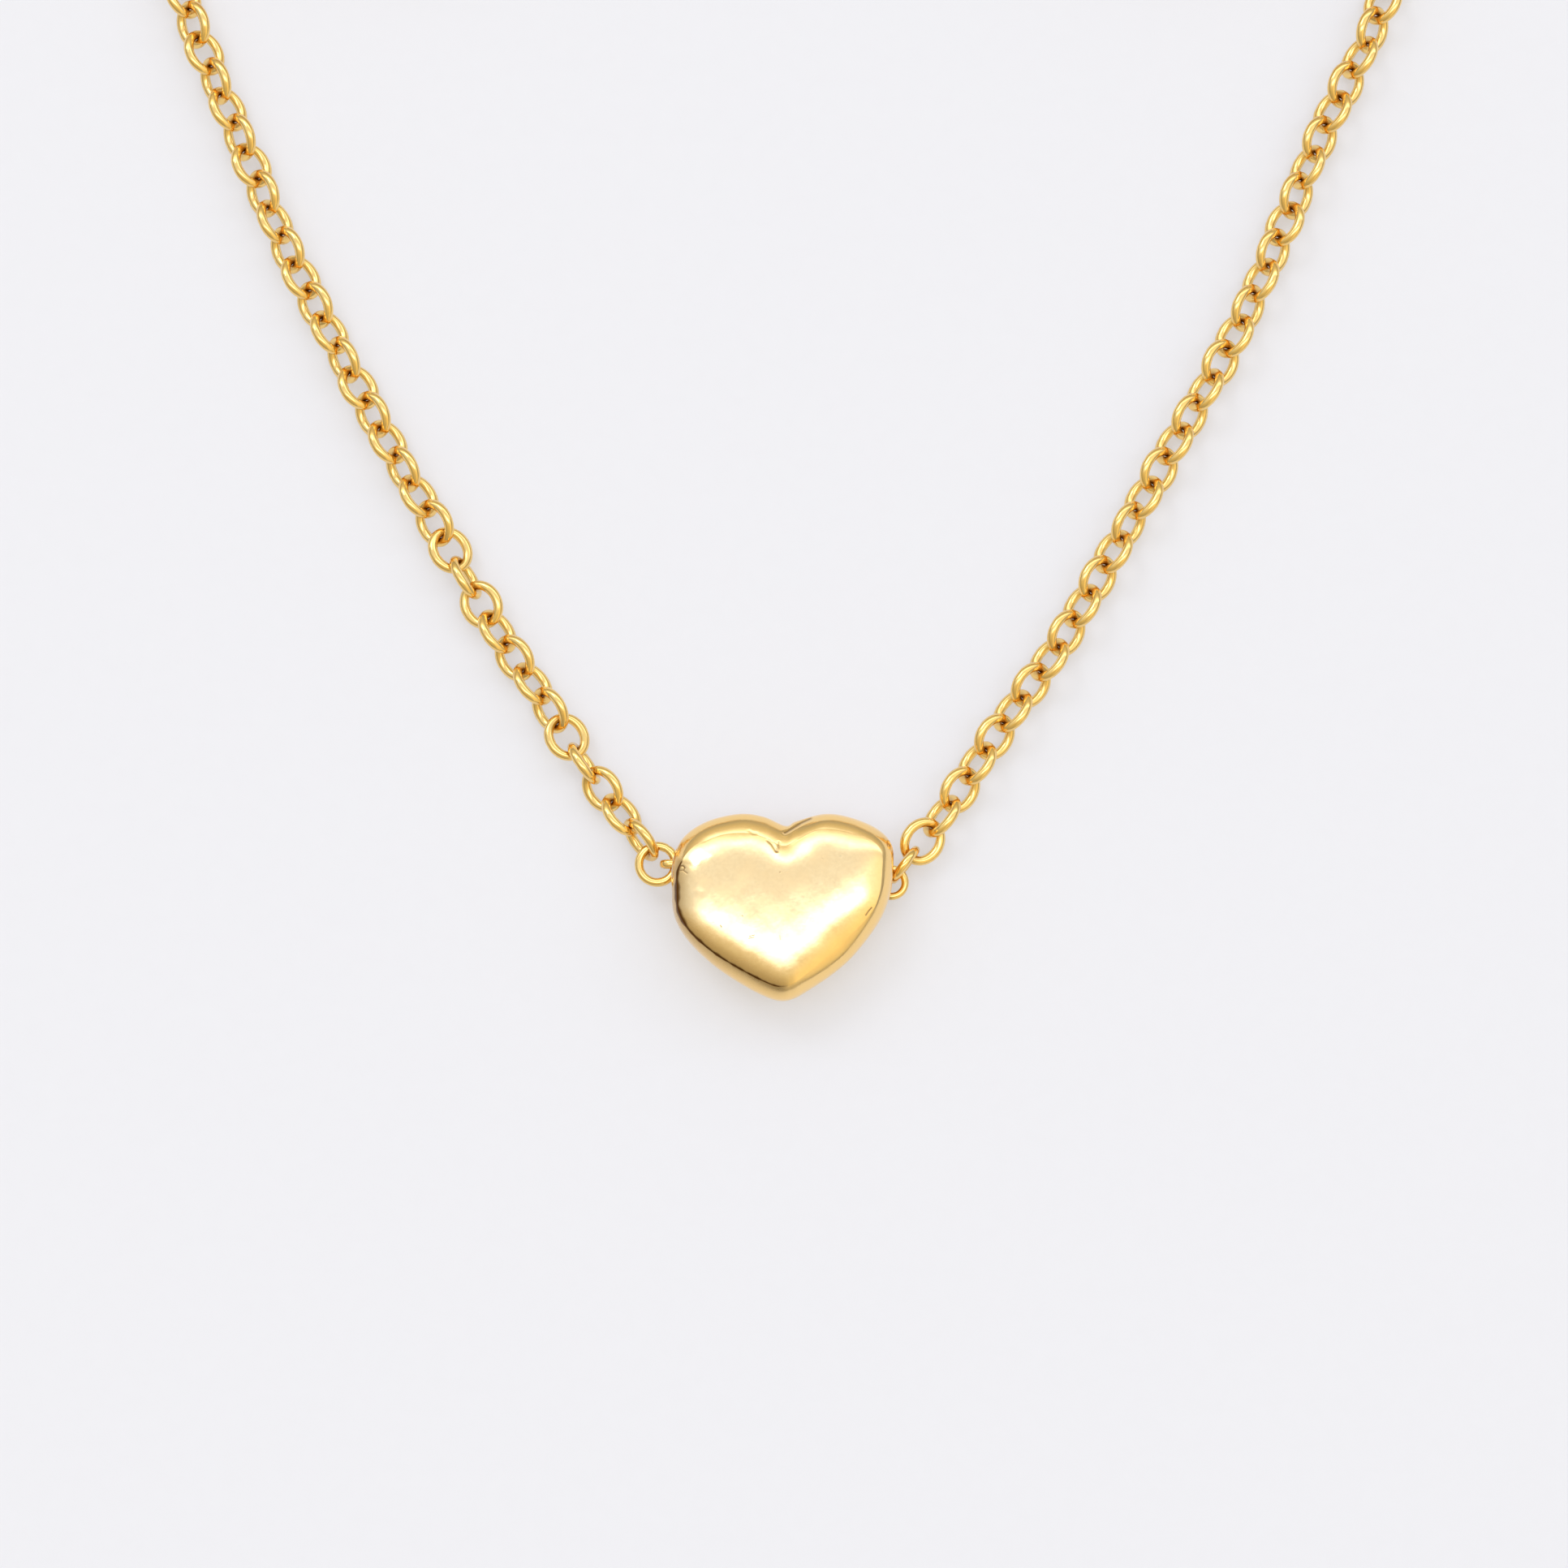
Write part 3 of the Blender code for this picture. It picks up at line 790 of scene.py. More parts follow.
    def build(self, gold: bpy.types.Material, end_pieces: list[bpy.types.Object]) -> None:
        """Args:
            gold: the wire's finish.
            end_pieces: the pieces that hang on the chain's far end; not used.
        """
        word = self.side.word
        hooks, length = self.hooks()
        fine = LinkPattern(self.gauge).make("fine_link_pattern")
        plain = LinkPattern(self.gauge, rounds=12, sides=5, seam=1).make("plain_link_pattern")
        for k in range(self.loose):
            place = self.link_place(hooks[k], hooks[k + 1], self.roll(k))
            link = copy_of(fine, f"cable_link_{word}_{k + 1:02d}", place)
            body = f"{word}_link_{k + 1:02d}" if k + 1 < self.loose else f"{word}_chain"
            hang(link, body, gold, "gold_wire", f"{word}_link_{k + 1:02d}")
        links = []
        for k in range(self.loose, len(hooks) - 1):
            pattern = fine if k < self.fine_links else plain
            place = self.link_place(hooks[k], hooks[k + 1], self.roll(k))
            links.append(copy_of(pattern, f"run_link_{word}_{k}", place))
        run = join(links, f"cable_run_{word}")
        body = f"{word}_chain"
        hang(run, body, gold, "gold_wire", f"{word}_chain_run", f"{word}_chain_coil")
        pivot, way = self.tail()
        last = copy_of(
            fine, f"last_link_{word}",
            self.link_place(pivot, pivot + way, 60 * self.side.value),
        )
        hang(last, body, gold, "gold_wire", f"{word}_end_link")
        log.info("%s chain: %.1f mm after its loose links", word, length / MM)
        discard(fine)
        discard(plain)


# ---------------------------------------------------------------- heart


@dataclass
class Dent:
    """A mark in the heart's face: a groove along a line, or a pit where the line is short."""

    line: tuple[tuple[float, float], ...]
    width: float
    depth: float
    # How much darker the dent's colour is made in its hollow.
    patina: float = 0.0


@dataclass
class Heart:
    """The puffed heart: a domed front shell and a flat-backed rear shell, soldered together."""

    width: float = 7.93 * MM
    height: float = 6.72 * MM
    girdle: float = 1.9 * MM
    front_depth: float = 1.2 * MM
    seam: float = 0.006 * MM
    around: int = 448
    rings: int = 170
    face_share: float = 0.62
    edge_height: float = 0.86 * MM
    dome_reach: float = 2.35 * MM
    dome_power: float = 3.3
    outline_mm: tuple[tuple[float, float], ...] = (
        (0.08, 2.93), (0.48, 3.10), (1.50, 3.36), (2.45, 3.22), (3.40, 2.80), (3.90, 2.20),
        (3.93, 1.25), (3.80, 0.35), (3.35, -0.65), (2.30, -1.95), (1.00, -2.92),
        (0.08, -3.35), (-0.85, -3.10), (-2.30, -2.22), (-3.35, -1.25), (-3.88, -0.35),
        (-3.98, 0.60), (-3.97, 1.60), (-3.60, 2.48), (-2.75, 3.08), (-1.60, 3.36),
        (-0.70, 3.26),
    )
    # Direction from the middle in degrees, the rim's width in mm there, how steeply the rim
    # leaves the face in degrees, and how wide the solder crease's painted shade, with some dirt, is
    # in mm.
    rim: tuple[tuple[float, float, float, float], ...] = (
        (0, 0.36, 34, 0), (25, 0.42, 32, 0), (45, 0.60, 26, 0), (65, 0.66, 22, 0),
        (80, 0.80, 24, 0), (90, 0.86, 28, 0), (102, 0.88, 26, 0), (120, 0.78, 22, 0),
        (140, 0.66, 24, 0), (155, 0.36, 40, 0), (163, 0.22, 54, 0.10), (172, 0.17, 60, 0.13),
        (182, 0.17, 60, 0.13), (190, 0.20, 58, 0.09), (205, 0.27, 58, 0.06),
        (225, 0.34, 60, 0.05), (255, 0.40, 60, 0.05), (268, 0.42, 54, 0.03),
        (280, 0.44, 44, 0.0), (305, 0.52, 32, 0), (325, 0.58, 28, 0), (345, 0.46, 30, 0),
        (360, 0.36, 34, 0),
    )
    back_profile: tuple[tuple[float, float], ...] = (
        (0.0, 0.0), (0.03, 0.12), (0.07, 0.24), (0.13, 0.33), (0.22, 0.44), (0.43, 0.62),
        (0.75, 0.82), (1.00, 0.94), (1.25, 1.0),
    )
    profile_reach: float = 3.6
    crease_depth: float = 0.02 * MM
    # The halo is painted shade that spreads round the crease.
    crease_halo: float = 0.48
    notch_rounding: int = 60
    dents: tuple[Dent, ...] = (
        Dent(((-0.52, 2.30), (-0.40, 2.18), (-0.24, 1.92)), 0.050, 0.014, 0.25),
        Dent(((-0.15, 2.24), (-0.18, 2.08), (-0.23, 1.92)), 0.040, 0.018, 0.60),
        Dent(((0.06, 2.62), (0.36, 2.80), (0.66, 3.00), (0.98, 3.15)), 0.060, 0.050, 0.7),
        Dent(((-1.22, 2.66), (-1.05, 2.56), (-0.95, 2.57)), 0.045, 0.006, 0.25),
        Dent(((-3.15, 0.52), (-2.90, 0.42)), 0.120, 0.006, 0.0),
        Dent(((-3.30, 0.85), (-3.20, 0.75)), 0.100, 0.006, 0.0),
    )

    def outline(self) -> np.ndarray:
        """The heart's widest line, one row for each step round it, anticlockwise."""
        corners = [Vector((x * MM, y * MM, 0)) for x, y in reversed(self.outline_mm)]
        line = np.array([tuple(p)[:2] for p in smooth_line(corners, 24, closed=True)])
        line = np.vstack([line, line[:1]])
        gone = np.concatenate(([0], np.cumsum(np.linalg.norm(np.diff(line, axis=0), axis=1))))
        at = np.linspace(0, gone[-1], self.around, endpoint=False)
        return np.stack([np.interp(at, gone, line[:, k]) for k in (0, 1)], axis=1)

    def profile_at(self, outline: np.ndarray) -> tuple[np.ndarray, np.ndarray, np.ndarray]:
        """The rim's width, its first slope and its crease at each step of the outline.

        Args:
            outline: the heart's widest line.

        Returns:
            The widths in metres, the slopes in radians and the creases' widths in metres.
        """
        ways = np.degrees(np.arctan2(outline[:, 1], outline[:, 0])) % 360
        table = np.array(self.rim)
        found = []
        for column, unit in ((1, MM), (2, pi / 180), (3, MM)):
            values = np.interp(ways, table[:, 0], table[:, column]) * unit
            for _ in range(6):
                values = (np.roll(values, 1) + values + np.roll(values, -1)) / 3
            found.append(values)
        uneven = 1 + 0.25 * np.sin(ways * 0.41) + 0.15 * np.sin(ways * 0.93 + 1)
        return found[0], found[1], found[2] * uneven

    def dome(self, flat: np.ndarray, edge: np.ndarray) -> np.ndarray:
        """How far the face has fallen at each point, from the distance to its edge.

        The distance is a soft one that every part of the edge has a share in, so the face
        has no ridge where two sides are equally near.

        Args:
            flat: the points' X and Y.
            edge: the face's edge line.

        Returns:
            The share of the whole fall, from 0 in the middle to 1 at the edge.
        """
        steps = np.linalg.norm(edge - np.roll(edge, 1, axis=0), axis=1)
        shares = (steps + np.roll(steps, -1)) / 2
        away = np.linalg.norm(flat[:, None, :] - edge[None, :, :], axis=2)
        away = np.maximum(away, 0.3 * shares[None, :])
        pull = (shares[None, :] / away**4).sum(axis=1)
        soft = (pi / 2 / pull) ** (1 / 3)
        return np.clip(1 - soft / self.dome_reach, 0, 1) ** self.dome_power

    def rounded(self, line: np.ndarray) -> np.ndarray:
        """The closed line with its notch rounded and its point left as it is."""
        soft = line.copy()
        for _ in range(self.notch_rounding):
            soft = (np.roll(soft, 1, axis=0) + soft + np.roll(soft, -1, axis=0)) / 3
        near = np.exp(-((line[:, 0] / (0.9 * MM)) ** 2)) * (line[:, 1] > 0)
        return line + (soft - line) * near[:, None]

    def calmed(self, line: np.ndarray) -> np.ndarray:
        """The closed line without its notch and its point, which fade towards the middle."""
        waves = np.fft.fft(line[:, 0] + 1j * line[:, 1])
        order = np.fft.fftfreq(len(line), 1 / len(line))
        soft = np.fft.ifft(waves * np.exp(-((order / 2.2) ** 2)))
        return np.column_stack([soft.real, soft.imag])

    def unevenness(self, x: np.ndarray, y: np.ndarray) -> np.ndarray:
        """How far the hand-finished surface swells and sinks, in metres."""
        swell = np.zeros_like(x)
        waves = (
            (1.3, 0.4, 0.3, 5.0), (-0.5, 1.7, 1.1, 4.5), (2.9, -1.7, 2.0, 1.9),
            (-3.4, -2.6, 0.7, 1.5), (5.1, 3.3, 2.9, 0.85), (-4.3, 6.1, 0.2, 0.75),
            (8.7, -5.9, 1.7, 0.34), (7.3, 9.4, 0.9, 0.30), (-13.1, 6.3, 2.2, 0.16),
            (15.7, 11.9, 1.4, 0.13), (-19.0, 17.0, 0.5, 0.09), (24.0, 9.0, 2.6, 0.07),
        )
        for wave_x, wave_y, phase, tall in waves:
            swell += tall * np.sin((wave_x * x + wave_y * y) / MM + phase)
        return swell * 0.001 * MM

    def dent_field(self, x: np.ndarray, y: np.ndarray) -> tuple[np.ndarray, np.ndarray]:
        """How deep the marks are at each point, and how dark.

        Args:
            x: the points' X in metres.
            y: the points' Y in metres.

        Returns:
            The depths in metres and how much darker each point is painted, from 0 to 1.
        """
        depth, patina = np.zeros_like(x), np.zeros_like(x)
        here = np.stack([x, y], axis=-1) / MM
        for dent in self.dents:
            near = np.full(x.shape, 9.0)
            for a, b in zip(dent.line, dent.line[1:]):
                start, along = np.array(a), np.array(b) - np.array(a)
                share = ((here - start) @ along / (along @ along)).clip(0, 1)
                away = np.linalg.norm(here - start - share[..., None] * along, axis=-1)
                near = np.minimum(near, away)
            pit = np.exp(-((near / dent.width) ** 2))
            lip = np.exp(-(((near - 1.9 * dent.width) / (0.8 * dent.width)) ** 2))
            depth += dent.depth * (pit - 0.10 * lip) * MM
            patina = np.maximum(patina, dent.patina * pit**1.5)
        return depth, patina

    def front_rings(self) -> tuple[np.ndarray, np.ndarray, np.ndarray]:
        """The front shell's points, ring by ring from its middle to its mouth.

        Returns:
            The points, as rings by steps by XYZ, and at each how dark it is painted, for shade
            and some dirt, and how far it belongs to the rim, whose deeper gold is painted shade.
        """
        outline = self.outline()
        widths, slopes, creases = self.profile_at(outline)
        far = np.linalg.norm(outline, axis=1)
        edge = self.rounded(outline * (1 - widths / far * 1.08)[:, None])
        calm = self.calmed(edge)
        top = self.girdle + self.front_depth
        fall = self.front_depth - self.edge_height
        rings, dark, rim = [], [], []
        face_rings = round(self.rings * self.face_share)
        for k in range(face_rings):
            out = 1 - (1 - k / face_rings) ** 1.25
            own = np.clip((out - 0.35) / 0.65, 0, 1) ** 2
            flat = (edge * own + calm * (1 - own)) * out
            rings.append(np.column_stack([flat, top - fall * self.dome(flat, edge)]))
            away = np.linalg.norm(flat - edge, axis=1)
            dark.append(self.darkness(away, creases))
            rim.append(0.6 * np.exp(-((away / (0.35 * MM)) ** 2)))
        rim_rings = self.rings - face_rings
        low, drop = self.girdle + self.seam / 2, self.edge_height - self.seam / 2
        for k in range(rim_rings + 1):
            angle = slopes + (pi / 2 - slopes) * k / rim_rings
            out = (np.sin(angle) - np.sin(slopes)) / (1 - np.sin(slopes))
            rise = np.cos(angle) / np.cos(slopes)
            flat = edge + (outline - edge) * out[:, None]
            rings.append(np.column_stack([flat, low + drop * rise]))
            dark.append(self.darkness(out * widths * 1.6, creases))
            rim.append(0.6 + 0.4 * out)
        points, patina = np.array(rings), np.array(dark)
        ripple = self.unevenness(points[..., 0], points[..., 1])
        depth, darkened = self.dent_field(points[..., 0], points[..., 1])
        fade = np.clip((points[..., 2] - low) / (0.25 * MM), 0, 1)
        points[..., 2] += (ripple - depth - self.crease_depth * patina) * fade
        return points, np.maximum(patina, darkened), np.array(rim)

    def darkness(self, away: np.ndarray, creases: np.ndarray) -> np.ndarray:
        """How dark the solder crease is painted at points this far from the face's edge: painted
        shade with some dirt, in a thin line and a wider halo round it.
        """
        width = np.maximum(creases, 0.001 * MM)
        strength = np.clip(creases / (0.03 * MM), 0, 1)
        halo = self.crease_halo * np.exp(-((away / (0.4 * MM)) ** 2))
        return strength * np.maximum(np.exp(-((away / width) ** 4)), halo)

    def back_rings(self) -> np.ndarray:
        """The back shell's points, ring by ring from its mouth to the middle of its flat."""
        outline = self.outline()
        table = np.array(self.back_profile)
        steps = smooth_line([Vector((a, b, 0)) for a, b in table], 10)
        rings = []
        for step in steps:
            scale = 1 - step.x / self.profile_reach
            height = self.girdle - self.seam / 2 - step.y * (self.girdle - self.seam / 2)
            rings.append(np.column_stack([outline * scale, np.full(len(outline), max(height, 0))]))
        last = 1 - steps[-1].x / self.profile_reach
        for k in range(1, 24):
            rings.append(np.column_stack([outline * last * (1 - k / 23), np.zeros(len(outline))]))
        return np.array(rings)

    def shell(
        self, name: str, rings: np.ndarray, patina: np.ndarray, rim: np.ndarray
    ) -> bpy.types.Object:
        """Wraps a grid round the rings and closes it with a flat cap at its mouth.

        Args:
            name: the piece's name.
            rings: the points, as rings by steps by XYZ.
            patina: how dark each point is.
            rim: how far each point belongs to the rim.

        Returns:
            The closed shell.
        """
        clear_bench()
        count, around = rings.shape[:2]
        bpy.ops.mesh.primitive_grid_add(x_subdivisions=around, y_subdivisions=count - 1, size=2)
        piece = name_piece(name)
        grid = points_of(piece)
        column = np.rint((grid[:, 0] + 1) / 2 * around).astype(int) % around
        row = np.rint((grid[:, 1] + 1) / 2 * (count - 1)).astype(int)
        put_points(piece, rings[row, column])
        for word, values in (("patina", patina), ("rim", rim)):
            shade = piece.data.attributes.new(word, "FLOAT", "POINT")
            shade.data.foreach_set("value", values[row, column].astype(np.float32))
        take(piece)
        bpy.ops.object.mode_set(mode="EDIT")
        bpy.ops.mesh.select_all(action="SELECT")
        bpy.ops.mesh.remove_doubles(threshold=1e-8)
        bpy.ops.mesh.select_all(action="DESELECT")
        bpy.ops.mesh.select_non_manifold()
        bpy.ops.mesh.extrude_region_move()
        bpy.ops.transform.resize(value=(0.93, 0.93, 1), center_override=(0, 0, self.girdle))
        bpy.ops.mesh.edge_face_add()
        bpy.ops.object.mode_set(mode="OBJECT")
        return close_piece(piece, 35)

    def build(self, gold: bpy.types.Material) -> None:
        """Makes both shells and hangs them on the heart's body."""
        rings, patina, rim = self.front_rings()
        front = self.shell("heart_face_shell", rings, patina, rim)
        hang(front, "heart", gold, "polished_gold", "heart_front")
        rings = self.back_rings()
        plain = np.zeros(rings.shape[:2])
        back = self.shell("heart_rear_shell", rings, plain, plain + 1)
        hang(back, "heart", gold, "polished_gold", "heart_back")


# ---------------------------------------------------------------- eyes and jump rings


@dataclass
class Eyes:
    """The two wire eyes soldered to the heart and the jump rings that hang in them."""

    wire: float = 0.325 * MM
    ring_radius: float = 0.658 * MM
    left_wire: float = 0.17 * MM
    left_bend: float = 0.30 * MM
    left_flat: float = 1.7
    right_wire: float = 0.27 * MM
    right_radius: float = 0.50 * MM

    def left_eye(self, gold: bpy.types.Material) -> None:
        """An upright U of thin wire out of the left wall."""
        low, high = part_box("left_eye")
        piece = torus("left_eye_wire", self.left_bend, self.left_wire, 40, 14)
        settle(piece, Matrix.Rotation(radians(90), 4, "X"))
        points = points_of(piece)
        points[:, 1] *= self.left_flat
        put_points(piece, points)
        open_with(piece, points[:, 0] > 1e-6)
        bpy.ops.mesh.delete(type="VERT")
        for up in (1, -1):
            bpy.ops.object.mode_set(mode="OBJECT")
            points = points_of(piece)
            open_with(piece, (points[:, 0] > -1e-6) & (points[:, 2] * up > 0))
            bpy.ops.mesh.extrude_region_move()
            bpy.ops.transform.translate(value=(high.x - low.x - self.left_bend, 0, 0))
            bpy.ops.mesh.edge_face_add()
        bpy.ops.object.mode_set(mode="OBJECT")
        middle = (low + high) / 2
        start = Vector((low.x + self.left_bend + self.left_wire / 2, middle.y, middle.z))
        settle(piece, Matrix.Translation(start))
        hang(close_piece(piece), "heart", gold, "gold_wire", "left_eye")

    def right_eye(self, gold: bpy.types.Material) -> None:
        """A flat loop of wire that curves out of the right wall and back into it."""
        low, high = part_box("right_eye")
        piece = torus("right_eye_wire", self.right_radius, self.right_wire, 56, 16)
        middle = (low + high) / 2
        centre_x = high.x - self.right_radius - self.right_wire / 2
        settle(piece, Matrix.Translation((centre_x, middle.y, middle.z)))
        take(piece)
        bpy.ops.object.mode_set(mode="EDIT")
        bpy.ops.mesh.select_all(action="SELECT")
        bpy.ops.mesh.bisect(
            plane_co=(low.x, 0, 0), plane_no=(1, 0, 0), clear_inner=True, use_fill=True
        )
        bpy.ops.object.mode_set(mode="OBJECT")
        close_piece(piece)
        # Painted shade: the eye's wire is darkened towards the heart's wall, where the gap between
        # them lies in shadow.
        from_wall = (points_of(piece)[:, 0] - low.x) / (high.x - low.x)
        shade = piece.data.attributes.new("patina", "FLOAT", "POINT")
        shade.data.foreach_set("value", np.clip(0.9 - 2.2 * from_wall, 0, 1).astype(np.float32))
        hang(piece, "heart", gold, "gold_wire", "right_eye")

    def jump_rings(self, gold: bpy.types.Material) -> None:
        """The flat-lying ring on the left and the upright one on the right."""
        pattern = torus("jump_ring_pattern", self.ring_radius, self.wire, 56, 16)
        points = points_of(pattern)
        open_with(pattern, (abs(points[:, 1]) < 1e-6) & (points[:, 0] < 0))
        bpy.ops.transform.resize(
            value=(0.9, 0.9, 0.9), center_override=(-self.ring_radius, 0, 0)
        )
        bpy.ops.object.mode_set(mode="OBJECT")
        close_piece(pattern, 80)
        for side in Side:
            node = f"{side.word}_jump_ring"
            low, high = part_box(node)
            axis = Vector(joint_of(f"{side.word}_ring_swing")["axis"]).normalized()
            first = Vector(joint_of(f"{side.word}_link_01_swing")["pos_m"])
            centre = (low + high) / 2
            along = (first - centre).normalized()
            axes = Matrix((along, axis.cross(along), axis)).transposed().to_4x4()
            turn = Matrix.Rotation(radians(115), 4, "Z")
            ring = copy_of(pattern, f"jump_ring_{side.word}_wire", placed(centre, axes @ turn))
            hang(ring, f"{side.word}_ring", gold, "gold_wire", node)
        discard(pattern)

    def build(self, gold: bpy.types.Material) -> None:
        """Makes both eyes and both rings."""
        self.left_eye(gold)
        self.right_eye(gold)
        self.jump_rings(gold)


# ---------------------------------------------------------------- clasp


@dataclass
class Clasp:
    """The spring ring clasp at the left end, and the ring at the right end that it hooks."""

    radius: float = 2.2 * MM
    tube: float = 1.1 * MM
    bore: float = 0.74 * MM
    tongue_wire: float = 0.5 * MM
    spring_wire: float = 0.09 * MM
    spring_radius: float = 0.24 * MM
    spring_turns: int = 11
    knob_width: float = 0.34 * MM
    knob_reach: float = 0.55 * MM
    knob_at: float = 33.0
    mouth_half: float = 20.0
    tongue_tip: float = -24.0
    tongue_end: float = 76.0
    travel: float = 45.0
    slot_margin: float = 8.5
    slot_reach: float = 0.85
    rim_width: float = 0.03 * MM
    nose_inset: float = 0.06 * MM
    spring_end: float = 150.0
    lug_radius: float = 0.52 * MM
    lug_wire: float = 0.28 * MM
    ring_wire: float = 0.3 * MM
    ring_radius: float = 0.67 * MM
    end_ring_radius: float = 1.7 * MM
    end_ring_wire: float = 0.6 * MM

    def place(self) -> Matrix:
        """The clasp's centre and axes, X from its centre through its mouth."""
        centre = Vector(joint_of("tongue_draw")["pos_m"])
        lug = Vector(joint_of("clasp_swing")["pos_m"])
        way = (centre - lug).normalized()
        return placed(centre, lying(UP.cross(way).normalized(), 0))

    def swept(
        self, name: str, wire: float, start: float, end: float, steps: int, sides: int
    ) -> bpy.types.Object:
        """A round bar spun along an arc about the clasp's centre, open at both ends.

        Args:
            name: the piece's name.
            wire: the bar's diameter.
            start: the first angle in degrees.
            end: the last angle in degrees.
            steps: how many steps go along it.
            sides: how many sides it has.

        Returns:
            The bar.
        """
        clear_bench()
        bpy.ops.mesh.primitive_circle_add(vertices=sides, radius=wire / 2)
        piece = name_piece(name)
        upright = Matrix.Translation((self.radius, 0, 0)) @ Matrix.Rotation(radians(90), 4, "X")
        settle(piece, Matrix.Rotation(radians(start), 4, "Z") @ upright)
        take(piece)
        bpy.ops.object.mode_set(mode="EDIT")
        bpy.ops.mesh.select_all(action="SELECT")
        bpy.ops.mesh.spin(
            steps=steps, angle=radians(end - start), center=(0, 0, 0), axis=(0, 0, 1)
        )
        bpy.ops.object.mode_set(mode="OBJECT")
        self._turned_right(piece, radians(start), radians(end))
        return piece

    def _turned_right(self, piece: bpy.types.Object, start: float, end: float) -> None:
        """Turns a spun piece over if the spin ran the other way round."""
        points = points_of(piece)
        middle = (start + end) / 2
        side = points[:, 0] * cos(middle) + points[:, 1] * sin(middle)
        if abs(end - start) < pi and side.min() < 0:
            points[:, 1] *= -1
            turn = np.array([[cos(2 * start), -sin(2 * start)], [sin(2 * start), cos(2 * start)]])
            points[:, :2] = points[:, :2] @ turn.T
            put_points(piece, points)

    def case(self, place: Matrix, gold: bpy.types.Material) -> bpy.types.Object:
        """The hollow C-shaped case, with its slot for the knob and rolled mouth rims."""
        piece = self.swept(
            "clasp_tube", self.tube, self.mouth_half, 360 - self.mouth_half, 64, 24
        )
        take(piece)
        bpy.ops.object.mode_set(mode="EDIT")
        bpy.ops.mesh.select_all(action="SELECT")
        bpy.ops.mesh.normals_make_consistent(inside=False)
        bpy.ops.object.mode_set(mode="OBJECT")
        points = points_of(piece)
        angle = np.degrees(np.arctan2(points[:, 1], points[:, 0])) % 360
        low = self.knob_at - self.slot_margin
        high = self.knob_at + self.travel + self.slot_margin
        out = np.hypot(points[:, 0], points[:, 1]) - self.radius
        tight = abs(points[:, 2]) < self.knob_width * self.slot_reach
        open_with(piece, (angle > low) & (angle < high) & (out > 0) & tight)
        bpy.ops.mesh.delete(type="FACE")
        bpy.ops.object.mode_set(mode="OBJECT")
        wall = piece.modifiers.new("wall", "SOLIDIFY")
        wall.thickness = (self.tube - self.bore) / 2
        wall.offset = -1
        bpy.ops.object.modifier_apply(modifier="wall")
        rim = piece.modifiers.new("rim", "BEVEL")
        rim.width = self.rim_width
        rim.segments = 2
        rim.limit_method = "ANGLE"
        rim.angle_limit = radians(50)
        bpy.ops.object.modifier_apply(modifier="rim")
        settle(piece, place)
        return hang(close_piece(piece, 40), "clasp", gold, "gold_wire", "clasp_case")

    def tongue(self, place: Matrix, gold: bpy.types.Material) -> bpy.types.Object:
        """The bolt with its rounded nose and the knob that draws it back."""
        bar = self.swept("bolt_bar", self.tongue_wire, self.tongue_tip, self.tongue_end, 40, 20)
        for tip in (True, False):
            points = points_of(bar)
            angle = np.degrees(np.arctan2(points[:, 1], points[:, 0]))
            near_tip, near_end = angle < self.tongue_tip + 0.01, angle > self.tongue_end - 0.01
            open_with(bar, near_tip if tip else near_end)
            bpy.ops.mesh.edge_face_add()
            bpy.ops.mesh.inset(thickness=self.nose_inset)
            bpy.ops.object.mode_set(mode="OBJECT")
        clear_bench()
        stem = self.knob_reach + self.tube / 2
        bpy.ops.mesh.primitive_cylinder_add(vertices=24, radius=self.knob_width / 2, depth=stem)
        knob = name_piece("bolt_knob")
        points = points_of(knob)
        open_with(knob, points[:, 2] > 0)
        bpy.ops.mesh.bevel(offset=0.06 * MM, segments=3)
        bpy.ops.object.mode_set(mode="OBJECT")
        outwards = Matrix.Rotation(radians(90), 4, "Y")
        moved = Matrix.Translation((self.radius + stem / 2, 0, 0))
        settle(knob, Matrix.Rotation(radians(self.knob_at), 4, "Z") @ moved @ outwards)
        piece = join([close_piece(bar), close_piece(knob)], "clasp_bolt")
        settle(piece, place)
        return hang(close_piece(piece), "clasp_tongue", gold, "gold_wire", "clasp_tongue")

    def spring(self, place: Matrix, steel: bpy.types.Material) -> bpy.types.Object:
        """The coil spring in the case behind the bolt."""
        first = self.tongue_end + 4
        count = self.spring_turns * 12 + 1
        clear_bench()
        curve = bpy.data.curves.new("bolt_spring", "CURVE")
        curve.dimensions = "3D"
        curve.bevel_depth = self.spring_wire / 2
        curve.bevel_resolution = 2
        curve.use_fill_caps = True
        line = curve.splines.new("POLY")
        line.points.add(count - 1)
        for k, point in enumerate(line.points):
            share = k / (count - 1)
            way = radians(first + (self.spring_end - first) * share)
            turn = 2 * pi * self.spring_turns * share
            radius = self.radius + self.spring_radius * cos(turn)
            point.co = (radius * cos(way), radius * sin(way), self.spring_radius * sin(turn), 1)
        piece = bpy.data.objects.new("bolt_spring", curve)
        bpy.context.scene.collection.objects.link(piece)
        take(piece)
        bpy.ops.object.convert(target="MESH")
        settle(piece, place)
        return hang(close_piece(piece), "clasp", steel, "spring_steel", "clasp_spring")

    def ring(
        self, name: str, node: str, body: str, radius: float, wire: float,
        axis: Vector, gold: bpy.types.Material,
    ) -> bpy.types.Object:
        """A plain ring where the frame has one, its centre the middle of that node's box.

        Args:
            name: the piece's name.
            node: the frame's node that it stands for.
            body: the body that it rides on.
            radius: from its centre to the middle of its wire.
            wire: the wire's diameter.
            axis: the ring's own normal.
            gold: its finish.

        Returns:
            The ring.
        """
        low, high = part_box(node)
        piece = torus(name, radius, wire, 56, 16)
        turn = UP.rotation_difference(axis).to_matrix().to_4x4()
        settle(piece, placed((low + high) / 2, turn))
        return hang(close_piece(piece, 80), body, gold, "gold_wire", node)

